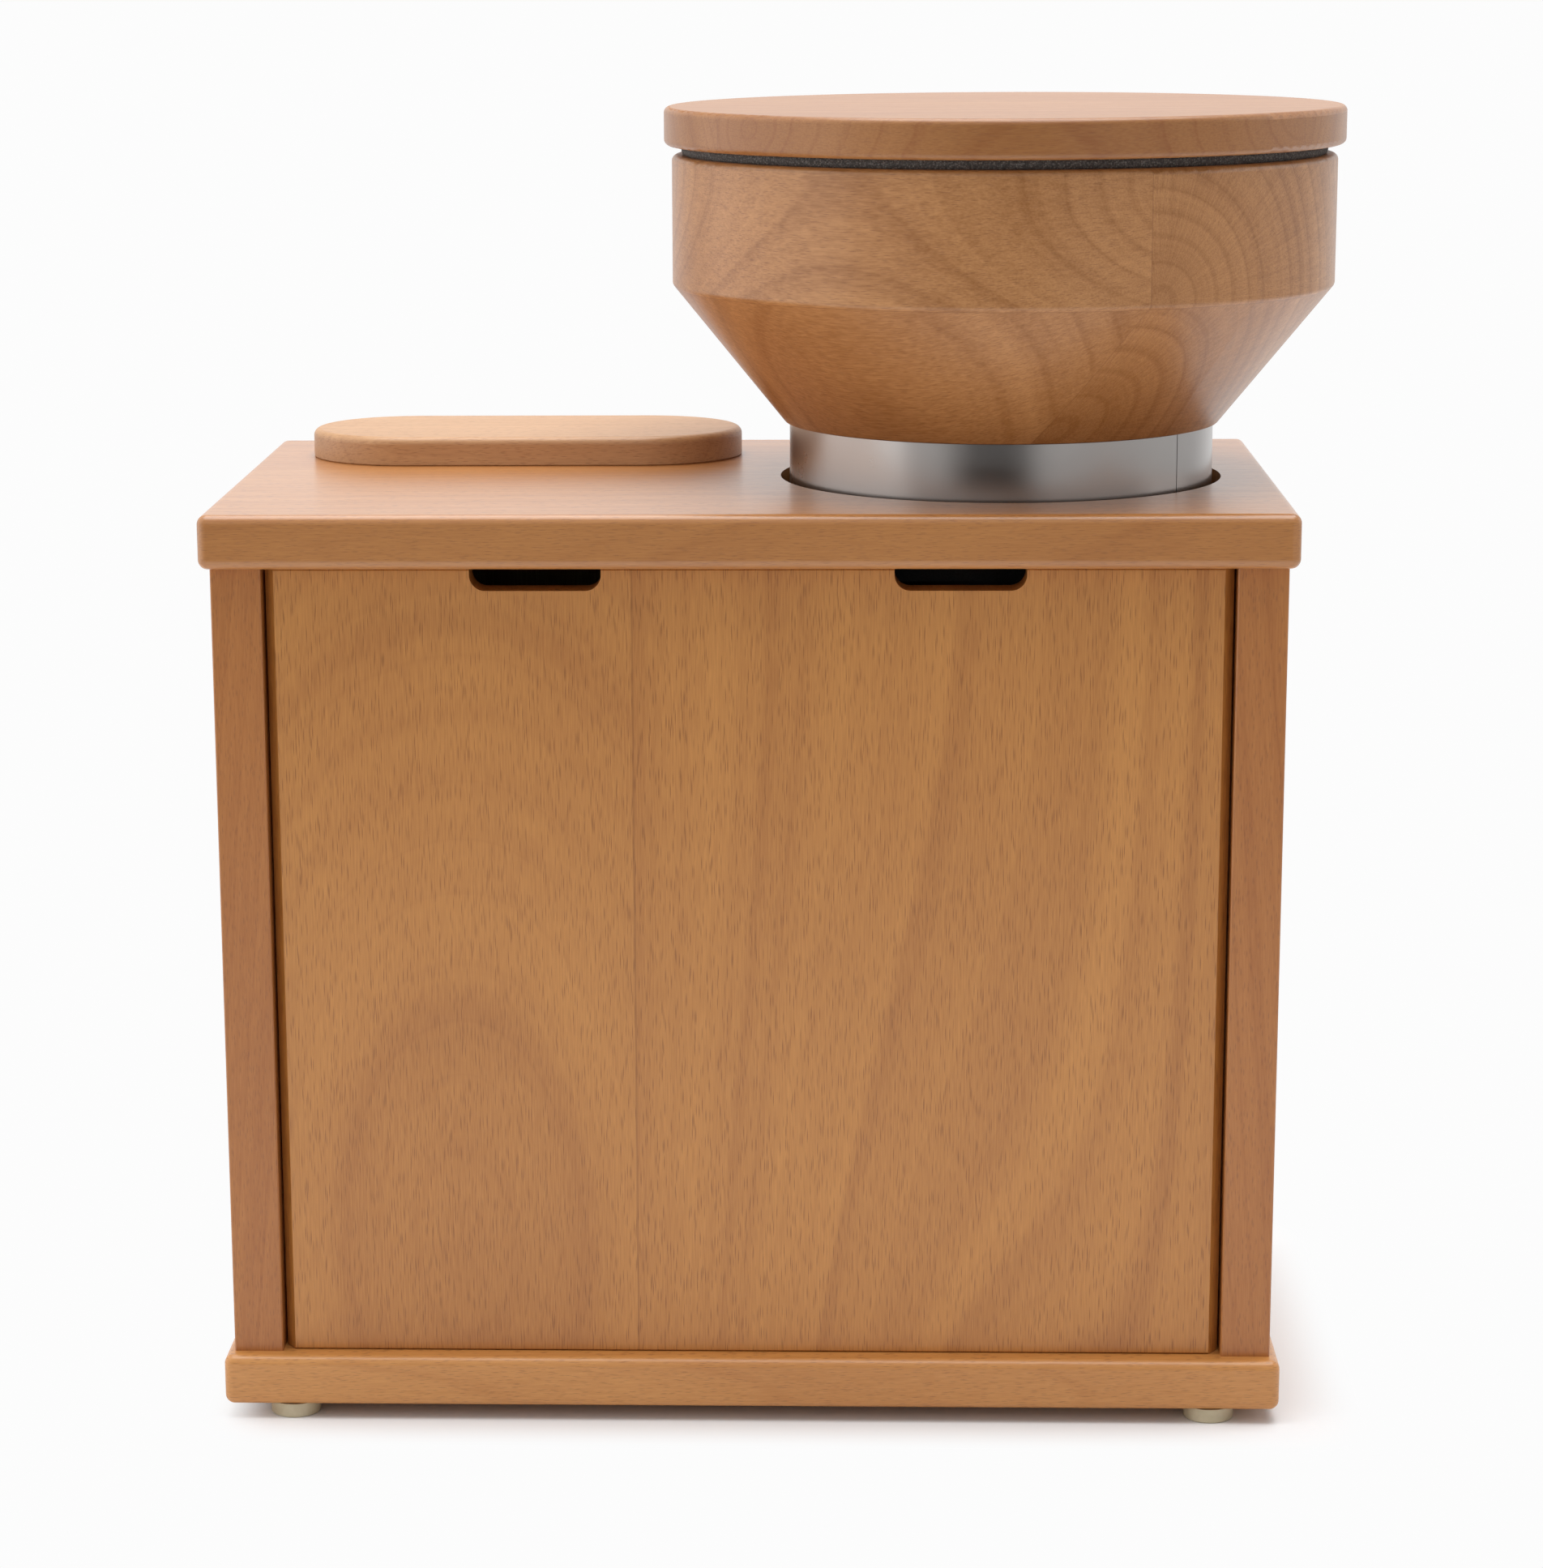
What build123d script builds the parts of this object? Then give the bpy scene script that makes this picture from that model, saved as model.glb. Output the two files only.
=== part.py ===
from build123d import *
import os
from math import cos, radians, sin

# Electric stone grain mill in a beech cabinet. Millimetres, +Z up, front towards -Y.
# The origin is on the table, at the centre of the box that encloses the whole mill.

os.makedirs("parts", exist_ok=True)

# ------------------------------------------------------------------ cabinet boards
board_w = 340.0           # top and base board, left to right
board_d = 200.0           # top and base board, front to back
top_t = 17.0
base_t = 16.5
board_round = 3.0         # rounding of every outer edge of the top and base boards
side_t = 15.7
side_inset = 3.0          # side boards stand in from the ends of the top board
side_front_inset = 6.0
back_t = 10.0
back_inset = 2.0          # back panel stands in from the rear of the top board
arris = 0.4               # eased corners of planed boards
divider_t = 12.0
divider_gap = 5.0         # divider clear of the outlet pad of the mill housing

# ------------------------------------------------------------------ feet and dowels
foot_r = 8.0
foot_h = 4.6
foot_inset_x = 22.0
foot_inset_y = 9.0
foot_recess_r = 4.2
foot_recess_h = 2.2
foot_screw_l = 11.0
foot_round = 0.6
dowel_r = 4.0
dowel_l = 30.0
dowel_in_side = 18.0
dowel_rows = (-72.0, -36.0, 36.0, 72.0)

# ------------------------------------------------------------------ front panel
panel_t = 12.0
panel_setback = 2.0       # panel face behind the front edges of the side boards
panel_side_gap = 0.6
panel_top_gap = 0.8
panel_bevel_x = 3.2
panel_bevel_y = 5.0
notch_w = 41.0
notch_floor = 7.6         # depth of the finger notches below the top board
notch_x = 66.0
notch_r = 5.0
stop_w = 14.0
stop_t = 12.0
stop_top_gap = 47.8       # stops end this far below the top board
stop_lift = 18.0
magnet_r = 5.0
magnet_t = 5.0
strike_r = 5.5
strike_t = 1.5
magnet_low = 27.0         # lower magnets above the foot of the stops
magnet_high = 38.0        # upper magnets below the head of the stops

# ------------------------------------------------------------------ flour bin
bin_h = 122.0
bin_wall = 7.0
bin_floor_t = 5.0
bin_side_gap = 2.3
bin_divider_gap = 3.0
bin_front_gap = 1.5
bin_back_gap = 4.0

# ------------------------------------------------------------------ hopper and its lid
mill_side_gap = 3.3       # flange of the mill housing clear of the right side board
hopper_r = 107.3
hopper_cone_h = 45.0
hopper_wall_h = 41.3
hopper_wall = 10.0
hopper_neck_r = 70.7
hopper_rim_round = 2.0
hopper_shoulder_round = 2.0
hopper_neck_round = 1.0
hopper_throat_r = 22.0
hopper_throat_l = 10.0
hopper_bowl_depth = 20.0  # upright part of the bowl, down from the rim
hopper_joint_drop = 1.0   # glue joint between the blank's two layers, below the shoulder
spigot_h = 6.0            # part of the hopper that stands inside the collar
seal_inset = 3.1          # seal in from the outside of the hopper
seal_w = 12.0
seal_t = 3.0
lid_lap = 2.5             # lid beyond the hopper, all round
lid_t = 12.3
lid_round = 2.0
lid_plug_t = 6.0
lid_plug_gap = 0.7        # between the locating disc and the seal

# ------------------------------------------------------------------ collar and adjusting ring
collar_r = 69.2
collar_t = 1.5
collar_show = 18.1        # height of the collar seen above the top board
collar_drop = 14.0        # how far the collar reaches into its hole
collar_hole_r = 72.2
ring_flange_t = 5.0
ring_bore_r = 52.0
ring_neck_gap = 1.0       # flange stays this far above the housing when the stones meet
hopper_screw_ring = 63.0
hopper_screw_r = 1.75
hopper_screw_head_r = 3.5
hopper_screw_l = 18.0
hopper_screw_count = 4
hopper_screw_phase = 45.0

# ------------------------------------------------------------------ mill housing
housing_r = 66.0
housing_bore_r = 61.05
housing_floor_t = 6.0
housing_neck_show = 6.1   # neck above the top board, inside the collar
flange_t = 8.0
flange_half_w = 67.0
flange_half_d = 70.0
flange_corner_r = 8.0
flange_screw_x = 57.0
flange_screw_y = 61.0
outlet_w = 28.0
outlet_h = 12.0
outlet_pad_w = 46.0
outlet_pad_h = 24.0
outlet_pad_x = 68.0       # face of the outlet pad, left of the mill axis
outlet_cut_in = 7.0       # outlet cut runs on past the curved bore wall
key_r = 2.5
key_depth = 3.75          # how far the keys reach into the carrier
key_end_gap = 0.3
key_hole_run = 1.0        # key hole drilled past the housing's outer face

# ------------------------------------------------------------------ stones and carrier
stone_r = 55.0
stone_t = 20.0
stone_eye_r = 18.0
stone_gap = 0.3           # grinding gap at the finest setting
runner_bore_r = 17.0
furrow_w = 3.0
furrow_depth = 1.2
furrow_count = 12
furrow_l = 34.0
furrow_skew = 14.0        # degrees
carrier_t = 12.0
carrier_eye_r = 26.0
carrier_neck_wall = 8.0
carrier_neck_h = 10.0
snap_ring_t = 1.4
snap_ring_w = 4.0
snap_ring_gap = 0.6       # ring clear of the bottom of the groove around it
snap_groove = 1.8
carrier_screw_ring = 36.0
carrier_screw_r = 2.5
carrier_screw_head_r = 5.0
carrier_screw_l = 22.0
carrier_screw_count = 3
carrier_drop = 7.0        # carrier below the housing flange at the finest setting
holder_t = 6.0
holder_rim_r = 57.0
holder_hub_r = 13.0
holder_pilot_h = 5.0
holder_floor_gap = 1.5
grind_space = 8.7         # height swept below the holder disc
nut_r = 9.5
nut_t = 8.0
washer_r = 14.0
washer_t = 1.6
stud_show = 3.4           # thread left above the nut
sweeper_count = 3
sweeper_l = 13.0
sweeper_t = 5.0
sweeper_floor_gap = 0.8
sweeper_wall_gap = 0.75
feed_wall = 2.0
feed_flange_t = 3.0
feed_flange_r = 58.0
feed_end_gap = 2.0        # feed tube above the upper stone

# ------------------------------------------------------------------ motor
motor_r = 57.0
motor_wall = 3.0
motor_l = 113.0           # shell, between the two shields
shield_t = 8.0
top_shield_t = 10.0
bearing_r = 17.5
bearing_h = 11.0
bearing_seat = 4.0        # bearing boss beyond the shield's inner face
bearing_boss_r = 23.0
shaft_r = 7.5
shaft_hole_r = 9.0
stud_r = 5.0
stator_bore_r = 30.5
stator_l = 60.0
stator_lift = 26.0        # stator above the lower shield
winding_r = (33.0, 50.0)
winding_h = 16.0
rotor_r = 30.0
fan_r = 46.0
fan_hub_r = 12.0
fan_h = 12.0
fan_disc_t = 2.0
fan_blades = 8
fan_cover_h = 24.0
fan_cover_wall = 1.5
fan_cover_holes = 10
fan_cover_slot_in = 14.0  # middle of the inlet slots, in from the fan's tip
fan_cover_slot_l = 24.0
fan_cover_slot_w = 7.0
motor_bolt_ring = 45.0
motor_bolt_l = 14.0
motor_bolt_phase = 20.0
motor_floor_gap = 12.8    # air space between the fan cover and the base board

# ------------------------------------------------------------------ flour chute
chute_wall = 2.0
chute_run = 40.0
chute_mouth_l = 16.0      # open length of the spout, seen from below
chute_drop = 14.0         # spout below the duct
chute_flange_t = 3.0
chute_slot_margin = 2.0
chute_screw_y = 19.5
chute_screw_r = 1.5
chute_screw_head_r = 2.75
chute_screw_head_h = 2.0
chute_screw_l = 9.0

# ------------------------------------------------------------------ oval scoop opening
oval_end_gap = 17.5       # lid in from the left end of the top board
oval_back_gap = 8.7       # lid in from the rear edge of the top board
oval_mill_gap = 86.5      # right end of the lid to the left of the mill axis
oval_w = 68.0
oval_t = 9.6
oval_round = 2.5
oval_lap = 10.25          # lid beyond its hole, all round
oval_plug_t = 5.0
oval_plug_gap = 0.6

# ------------------------------------------------------------------ back panel fittings
fitting_side_gap = 23.3   # middle of the electrical fittings, in from the side board
switch_z = 180.0
switch_w = 22.0
switch_h = 31.0
switch_depth = 20.0
bezel_w = 26.0
bezel_h = 36.0
bezel_t = 2.0
bezel_round = 2.0
well_side_gap = 0.3
well_floor_gap = 1.5
rocker_w = 17.0
rocker_reach = 12.5
rocker_crown = 3.5
rocker_dish = 1.0
rocker_depth = 4.0
rocker_foot = 10.0
rocker_tilt = 7.0         # degrees either way
rocker_clearance = 0.4
trunnion_r = 1.5
trunnion_l = 1.2
trunnion_end_gap = 0.2
reset_z = 140.0
reset_r = 4.0
reset_l = 14.0
reset_show = 5.0
reset_travel = 2.5
reset_bush_r = 7.0
reset_head_r = 9.0
reset_head_t = 2.0
reset_bush_l = 18.0
reset_end_gap = 0.5
gland_z = 55.0
gland_bore_r = 3.6
gland_r = 8.0
gland_head_r = 11.0
gland_head_t = 6.0
gland_l = 26.0
gland_nut_t = 5.0
gland_nut_r = 12.0
gland_round = 1.5
vent_w = 60.0
vent_h = 4.0
vent_pitch = 10.0
vent_count = 5
vent_z = 75.0
floor_vent_count = 6
capacitor_round = 1.5
capacitor_r = 17.5
capacitor_h = 62.0
capacitor_mill_gap = 51.0 # middle of the capacitor, left of the mill axis
capacitor_back_gap = 4.5  # cup in front of the back panel
cup_wall = 2.0
cup_h = 14.0
back_screw_count = 4      # in each edge
back_screw_end = 31.0     # end screws in from the top and base boards

# ------------------------------------------------------------------ clearances
slip = 0.05               # pieces pushed or screwed into one another
running = 0.04            # radial, shaft in bearing and thread in thread
rest_gap = 0.2            # loose pieces above what they slide on

# ------------------------------------------------------------------ places
side_outer = board_w / 2 - side_inset
side_inner = side_outer - side_t
mill_offset = side_inner - mill_side_gap - flange_half_w
seal_r = hopper_r - seal_inset
lid_r = hopper_r + lid_lap
cabinet_x = -(mill_offset + lid_r - board_w / 2) / 2
mill_x = cabinet_x + mill_offset
carrier_stack = flange_t + carrier_drop + carrier_t + stone_t + stone_gap
runner_stack = stone_t + holder_t + grind_space + housing_floor_t
motor_stack = top_shield_t + motor_l + shield_t + fan_cover_h + motor_floor_gap
side_h = carrier_stack + runner_stack + motor_stack
stop_h = side_h - stop_lift - stop_top_gap
magnet_heights = (stop_lift + magnet_low, stop_lift + stop_h - magnet_high)
floor_z = foot_h + base_t
under_z = floor_z + side_h
deck_z = under_z + top_t
front_y = -board_d / 2
rear_y = board_d / 2
side_front_y = front_y + side_front_inset
back_outer_y = rear_y - back_inset
back_inner_y = back_outer_y - back_t
capacitor_y = back_inner_y - capacitor_back_gap - cup_wall - capacitor_r
back_screw_step = (side_h - 2 * back_screw_end) / (back_screw_count - 1)
back_screw_rows = [floor_z + back_screw_end + back_screw_step * row for row in range(back_screw_count)]
panel_face_y = side_front_y + panel_setback
panel_back_y = panel_face_y + panel_t
chute_x = mill_x - outlet_pad_x                      # face where the chute meets the housing
divider_right = chute_x - divider_gap
divider_left = divider_right - divider_t
oval_l = board_w / 2 - oval_end_gap + mill_offset - oval_mill_gap
oval_x = oval_end_gap + oval_l / 2 - board_w / 2
oval_y = board_d / 2 - oval_back_gap - oval_w / 2
fitting_x = side_inner - fitting_side_gap
capacitor_x = mill_offset - capacitor_mill_gap

collar_top = deck_z + collar_show
spigot_z = collar_top - spigot_h
rim_z = collar_top + hopper_cone_h + hopper_wall_h
lid_z = rim_z + seal_t
collar_inner_r = collar_r - collar_t
housing_top = deck_z + housing_neck_show
ring_z = housing_top + ring_neck_gap                # underside of the ring's flange
ring_top = ring_z + ring_flange_t
thread_r = housing_bore_r - running

flange_z = under_z - flange_t
carrier_top = flange_z - carrier_drop
carrier_z = carrier_top - carrier_t
upper_stone_z = carrier_z - stone_t
runner_top = upper_stone_z - stone_gap
runner_z = runner_top - stone_t
holder_z = runner_z - holder_t
grind_floor = holder_z - grind_space
housing_z = grind_floor - housing_floor_t
outlet_z = grind_floor + outlet_h / 2

shell_top = housing_z - top_shield_t
shell_z = shell_top - motor_l
lower_shield_z = shell_z - shield_t
fan_cover_z = lower_shield_z - fan_cover_h

mill_axis = Axis((mill_x, 0, 0), (0, 0, 1))
mill_section = Plane(origin=(mill_x, 0, 0), x_dir=(1, 0, 0), z_dir=(0, -1, 0))
fitting_back = cabinet_x + fitting_x


# ------------------------------------------------------------------ helpers
def at(x, y, z):
    """A level work plane through a point."""
    return Plane(origin=(x, y, z))


def facing_front(x, y, z):
    """An upright work plane that faces the front: right, then up."""
    return Plane(origin=(x, y, z), x_dir=(1, 0, 0), z_dir=(0, -1, 0))


def facing_back(x, y, z):
    """An upright work plane that faces the back: left, then up."""
    return Plane(origin=(x, y, z), x_dir=(-1, 0, 0), z_dir=(0, 1, 0))


def around_mill(radius, z, count, phase=0.0):
    """Level planes spaced evenly on a circle about the mill axis, each turned outwards."""
    planes = []
    for index in range(count):
        angle = radians(phase + 360.0 * index / count)
        out = (cos(angle), sin(angle), 0)
        place = (mill_x + radius * out[0], radius * out[1], z)
        planes.append(Plane(origin=place, x_dir=out, z_dir=(0, 0, 1)))
    return planes


def outline(*points):
    """A closed (radius, height) outline beside the mill axis, ready to revolve."""
    with BuildSketch(mill_section) as face:
        with BuildLine():
            Polyline(*points, close=True)
        make_face()
    return face.sketch


def tube_outline(inner, outer, low, high):
    """The outline of a plain tube about the mill axis."""
    return outline((inner, low), (outer, low), (outer, high), (inner, high))


def screw(head_r, head_h, shank_r, length, sunk=False):
    """A screw along -Z whose head's outer face lies at the origin."""
    points = [(0, 0), (head_r, 0), (shank_r, -head_h), (shank_r, -length), (0, -length)]
    if not sunk:
        points.insert(2, (head_r, -head_h))
    with BuildPart() as piece:
        with BuildSketch(Plane.XZ):
            with BuildLine():
                Polyline(*points, close=True)
            make_face()
        revolve(axis=Axis.Z)
    return piece.part


# ================================================================== cabinet
dowel_x = (side_outer + side_inner) / 2
dowel_places = [(cabinet_x + side * dowel_x, y) for side in (-1, 1) for y in dowel_rows]
foot_places = [
    (cabinet_x + sx * (board_w / 2 - foot_inset_x), sy * (board_d / 2 - foot_inset_y))
    for sx in (-1, 1)
    for sy in (-1, 1)
]
pilot_r = 1.75
foot_screw_head_h = 2.0

with BuildPart() as base_board:
    with BuildSketch(at(cabinet_x, 0, foot_h)):
        Rectangle(board_w, board_d)
    extrude(amount=base_t)
    fillet(base_board.edges(), board_round)
    with BuildSketch(at(0, 0, floor_z)):
        with Locations(*dowel_places):
            Circle(dowel_r + slip)
    extrude(amount=-(dowel_l - dowel_in_side), mode=Mode.SUBTRACT)
    with BuildSketch(at(0, 0, foot_h)):
        with Locations(*foot_places):
            Circle(pilot_r + slip)
    extrude(amount=foot_screw_l - (foot_h - foot_recess_h), mode=Mode.SUBTRACT)
    with BuildSketch(at(mill_x, 0, floor_z)):
        with GridLocations(0, vent_pitch, 1, floor_vent_count):
            SlotOverall(vent_w, vent_h)
    extrude(amount=-base_t, mode=Mode.SUBTRACT)
base_board.part.label = "base_board"
export_step(base_board.part, "parts/base_board.step")

flange_screw_places = [
    (mill_x + sx * flange_screw_x, sy * flange_screw_y) for sx in (-1, 1) for sy in (-1, 1)
]
flange_screw_r = 2.5
flange_screw_l = 20.0
flange_screw_head = 2.5
oval_hole_l = oval_l - 2 * oval_lap
oval_hole_w = oval_w - 2 * oval_lap

with BuildPart() as top_board:
    with BuildSketch(at(cabinet_x, 0, under_z)):
        Rectangle(board_w, board_d)
    extrude(amount=top_t)
    fillet(top_board.edges(), board_round)
    with BuildSketch(at(mill_x, 0, under_z)):
        Circle(collar_hole_r)
    extrude(amount=top_t, mode=Mode.SUBTRACT)
    with BuildSketch(at(cabinet_x + oval_x, oval_y, under_z)):
        SlotOverall(oval_hole_l, oval_hole_w)
    extrude(amount=top_t, mode=Mode.SUBTRACT)
    with BuildSketch(at(0, 0, under_z)):
        with Locations(*dowel_places):
            Circle(dowel_r + slip)
    extrude(amount=dowel_l - dowel_in_side, mode=Mode.SUBTRACT)
    with BuildSketch(at(0, 0, under_z)):
        with Locations(*flange_screw_places):
            Circle(flange_screw_r + slip)
    extrude(amount=flange_screw_l - flange_t - flange_screw_head, mode=Mode.SUBTRACT)
top_board.part.label = "top_board"
export_step(top_board.part, "parts/top_board.step")

side_d = back_inner_y - side_front_y
side_mid_y = (back_inner_y + side_front_y) / 2
stop_back_y = panel_back_y + rest_gap + stop_t
stop_z = floor_z + stop_lift
magnet_x = side_inner - stop_w / 2
back_screw_r = 1.75
back_screw_l = 30.0

with BuildPart() as left_side_board:
    with BuildSketch(at(cabinet_x - dowel_x, side_mid_y, floor_z)):
        Rectangle(side_t, side_d)
    extrude(amount=side_h)
    chamfer(left_side_board.edges().filter_by(Axis.Z), arris)
    for level, sign in ((floor_z, 1), (under_z, -1)):
        with BuildSketch(at(0, 0, level)):
            with Locations(*dowel_places[: len(dowel_rows)]):
                Circle(dowel_r + slip)
        extrude(amount=sign * dowel_in_side, mode=Mode.SUBTRACT)
    with BuildSketch(facing_back(cabinet_x - dowel_x, back_inner_y, 0)):
        with Locations(*[(0, z) for z in back_screw_rows]):
            Circle(back_screw_r + slip)
    extrude(amount=-(back_screw_l - back_t), mode=Mode.SUBTRACT)
left_side_board.part.label = "left_side_board"
export_step(left_side_board.part, "parts/left_side_board.step")

with BuildPart() as right_side_board:
    with BuildSketch(at(cabinet_x + dowel_x, side_mid_y, floor_z)):
        Rectangle(side_t, side_d)
    extrude(amount=side_h)
    chamfer(right_side_board.edges().filter_by(Axis.Z), arris)
    for level, sign in ((floor_z, 1), (under_z, -1)):
        with BuildSketch(at(0, 0, level)):
            with Locations(*dowel_places[len(dowel_rows):]):
                Circle(dowel_r + slip)
        extrude(amount=sign * dowel_in_side, mode=Mode.SUBTRACT)
    with BuildSketch(facing_back(cabinet_x + dowel_x, back_inner_y, 0)):
        with Locations(*[(0, z) for z in back_screw_rows]):
            Circle(back_screw_r + slip)
    extrude(amount=-(back_screw_l - back_t), mode=Mode.SUBTRACT)
right_side_board.part.label = "right_side_board"
export_step(right_side_board.part, "parts/right_side_board.step")

with BuildPart() as cabinet_dowels:
    with BuildSketch(at(0, 0, floor_z - (dowel_l - dowel_in_side))):
        with Locations(*dowel_places):
            Circle(dowel_r)
    extrude(amount=dowel_l)
    with BuildSketch(at(0, 0, under_z - dowel_in_side)):
        with Locations(*dowel_places):
            Circle(dowel_r)
    extrude(amount=dowel_l)
cabinet_dowels.part.label = "cabinet_dowels"
export_step(cabinet_dowels.part, "parts/cabinet_dowels.step")

back_head_r = 3.6
back_screw_planes = [
    facing_back(cabinet_x + side * dowel_x, back_outer_y, z) for side in (-1, 1) for z in back_screw_rows
]

with BuildPart() as back_panel:
    with BuildSketch(facing_back(cabinet_x, back_inner_y, (floor_z + under_z) / 2)):
        Rectangle(2 * side_outer, side_h)
    extrude(amount=back_t)
    chamfer(back_panel.faces().sort_by(Axis.Y)[-1].edges(), arris)
    with Locations(*back_screw_planes):
        CounterSinkHole(back_screw_r + slip, back_head_r + slip, depth=back_t)
    with BuildSketch(facing_back(mill_x, back_outer_y, vent_z)):
        with GridLocations(0, vent_pitch, 1, vent_count):
            SlotOverall(vent_w, vent_h)
    extrude(amount=-back_t, mode=Mode.SUBTRACT)
    with BuildSketch(facing_back(fitting_back, back_outer_y, 0)):
        with Locations((0, switch_z)):
            Rectangle(switch_w + 2 * slip, switch_h + 2 * slip)
        with Locations((0, reset_z)):
            Circle(reset_bush_r + slip)
        with Locations((0, gland_z)):
            Circle(gland_r + slip)
    extrude(amount=-back_t, mode=Mode.SUBTRACT)
back_panel.part.label = "back_panel"
export_step(back_panel.part, "parts/back_panel.step")

back_head_h = back_head_r - back_screw_r
with BuildPart() as back_screws:
    with Locations(*back_screw_planes):
        add(screw(back_head_r, back_head_h, back_screw_r, back_screw_l, sunk=True))
back_screws.part.label = "back_screws"
export_step(back_screws.part, "parts/back_screws.step")

chute_outer_w = outlet_w + 2 * chute_wall
chute_low = outlet_z - outlet_h / 2 - chute_wall
chute_high = outlet_z + outlet_h / 2 + chute_wall
slot_plane = Plane(origin=(divider_right, 0, outlet_z), x_dir=(0, 1, 0), z_dir=(1, 0, 0))

with BuildPart() as divider_board:
    with BuildSketch(at((divider_left + divider_right) / 2, (stop_back_y + back_inner_y) / 2, floor_z)):
        Rectangle(divider_t, back_inner_y - stop_back_y)
    extrude(amount=side_h)
    chamfer(divider_board.edges().filter_by(Axis.Z), arris)
    with BuildSketch(slot_plane):
        Rectangle(chute_outer_w + 2 * chute_slot_margin, chute_high - chute_low + 2 * chute_slot_margin)
    extrude(amount=-divider_t, mode=Mode.SUBTRACT)
divider_board.part.label = "divider_board"
export_step(divider_board.part, "parts/divider_board.step")

with BuildPart() as rubber_feet:
    with BuildSketch(at(0, 0, 0)):
        with Locations(*foot_places):
            Circle(foot_r)
    extrude(amount=foot_h)
    fillet(rubber_feet.faces().filter_by(Plane.XY).group_by(Axis.Z)[0].edges(), foot_round)
    with BuildSketch(at(0, 0, 0)):
        with Locations(*foot_places):
            Circle(foot_recess_r)
    extrude(amount=foot_recess_h, mode=Mode.SUBTRACT)
    with BuildSketch(at(0, 0, 0)):
        with Locations(*foot_places):
            Circle(pilot_r + slip)
    extrude(amount=foot_h, mode=Mode.SUBTRACT)
rubber_feet.part.label = "rubber_feet"
export_step(rubber_feet.part, "parts/rubber_feet.step")

with BuildPart() as foot_screws:
    with Locations(*[
        Plane(origin=(x, y, foot_recess_h - foot_screw_head_h), z_dir=(0, 0, -1))
        for x, y in foot_places
    ]):
        add(screw(foot_recess_r - slip, foot_screw_head_h, pilot_r, foot_screw_l))
foot_screws.part.label = "foot_screws"
export_step(foot_screws.part, "parts/foot_screws.step")

# ================================================================== front panel
panel_z = floor_z + rest_gap
panel_top = under_z - panel_top_gap
panel_half = side_inner - panel_side_gap
face_half = panel_half - panel_bevel_x

with BuildPart() as front_panel:
    with BuildSketch(at(cabinet_x, 0, panel_z)):
        with BuildLine():
            Polyline(
                (-face_half, panel_face_y),
                (face_half, panel_face_y),
                (panel_half, panel_face_y + panel_bevel_y),
                (panel_half, panel_back_y),
                (-panel_half, panel_back_y),
                (-panel_half, panel_face_y + panel_bevel_y),
                close=True,
            )
        make_face()
    extrude(amount=panel_top - panel_z)
    chamfer(front_panel.faces().sort_by(Axis.Y)[0].edges().filter_by(Axis.X), arris)
    with BuildSketch(facing_front(cabinet_x, panel_face_y, under_z)) as notches:
        with Locations((-notch_x, 0), (notch_x, 0)):
            RectangleRounded(notch_w, 2 * notch_floor, notch_r)
    extrude(amount=-panel_t, mode=Mode.SUBTRACT)
    with BuildSketch(facing_back(cabinet_x, panel_back_y, floor_z)):
        with Locations(*[(side * magnet_x, h) for side in (-1, 1) for h in magnet_heights]):
            Circle(strike_r + slip)
    extrude(amount=-strike_t, mode=Mode.SUBTRACT)
front_panel.part.label = "front_panel"
export_step(front_panel.part, "parts/front_panel.step")

with BuildPart() as strike_plates:
    with BuildSketch(facing_back(cabinet_x, panel_back_y, floor_z)):
        with Locations(*[(side * magnet_x, h) for side in (-1, 1) for h in magnet_heights]):
            Circle(strike_r)
    extrude(amount=-strike_t)
strike_plates.part.label = "strike_plates"
export_step(strike_plates.part, "parts/strike_plates.step")

stop_front_y = panel_back_y + rest_gap
with BuildPart() as panel_stops:
    for side in (-1, 1):
        with BuildSketch(at(cabinet_x + side * magnet_x, stop_front_y + stop_t / 2, stop_z)):
            Rectangle(stop_w, stop_t)
        extrude(amount=stop_h)
    with BuildSketch(facing_front(cabinet_x, stop_front_y, floor_z)):
        with Locations(*[(side * magnet_x, h) for side in (-1, 1) for h in magnet_heights]):
            Circle(magnet_r + slip)
    extrude(amount=-magnet_t, mode=Mode.SUBTRACT)
panel_stops.part.label = "panel_stops"
export_step(panel_stops.part, "parts/panel_stops.step")

with BuildPart() as stop_magnets:
    with BuildSketch(facing_front(cabinet_x, stop_front_y, floor_z)):
        with Locations(*[(side * magnet_x, h) for side in (-1, 1) for h in magnet_heights]):
            Circle(magnet_r)
    extrude(amount=-magnet_t)
stop_magnets.part.label = "stop_magnets"
export_step(stop_magnets.part, "parts/stop_magnets.step")

# ================================================================== flour bin
bin_left = cabinet_x - side_inner + stop_w + bin_side_gap
bin_right = divider_left - bin_divider_gap
bin_front = panel_back_y + bin_front_gap
bin_rear = back_inner_y - bin_back_gap
bin_z = floor_z + rest_gap
bin_x = (bin_left + bin_right) / 2
bin_y = (bin_front + bin_rear) / 2
bin_w = bin_right - bin_left
bin_l = bin_rear - bin_front

with BuildPart() as bin_end_walls:
    for middle in (bin_front + bin_wall / 2, bin_rear - bin_wall / 2):
        with BuildSketch(at(bin_x, middle, bin_z)):
            Rectangle(bin_w - 2 * bin_wall, bin_wall)
        extrude(amount=bin_h)
bin_end_walls.part.label = "bin_end_walls"
export_step(bin_end_walls.part, "parts/bin_end_walls.step")

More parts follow.
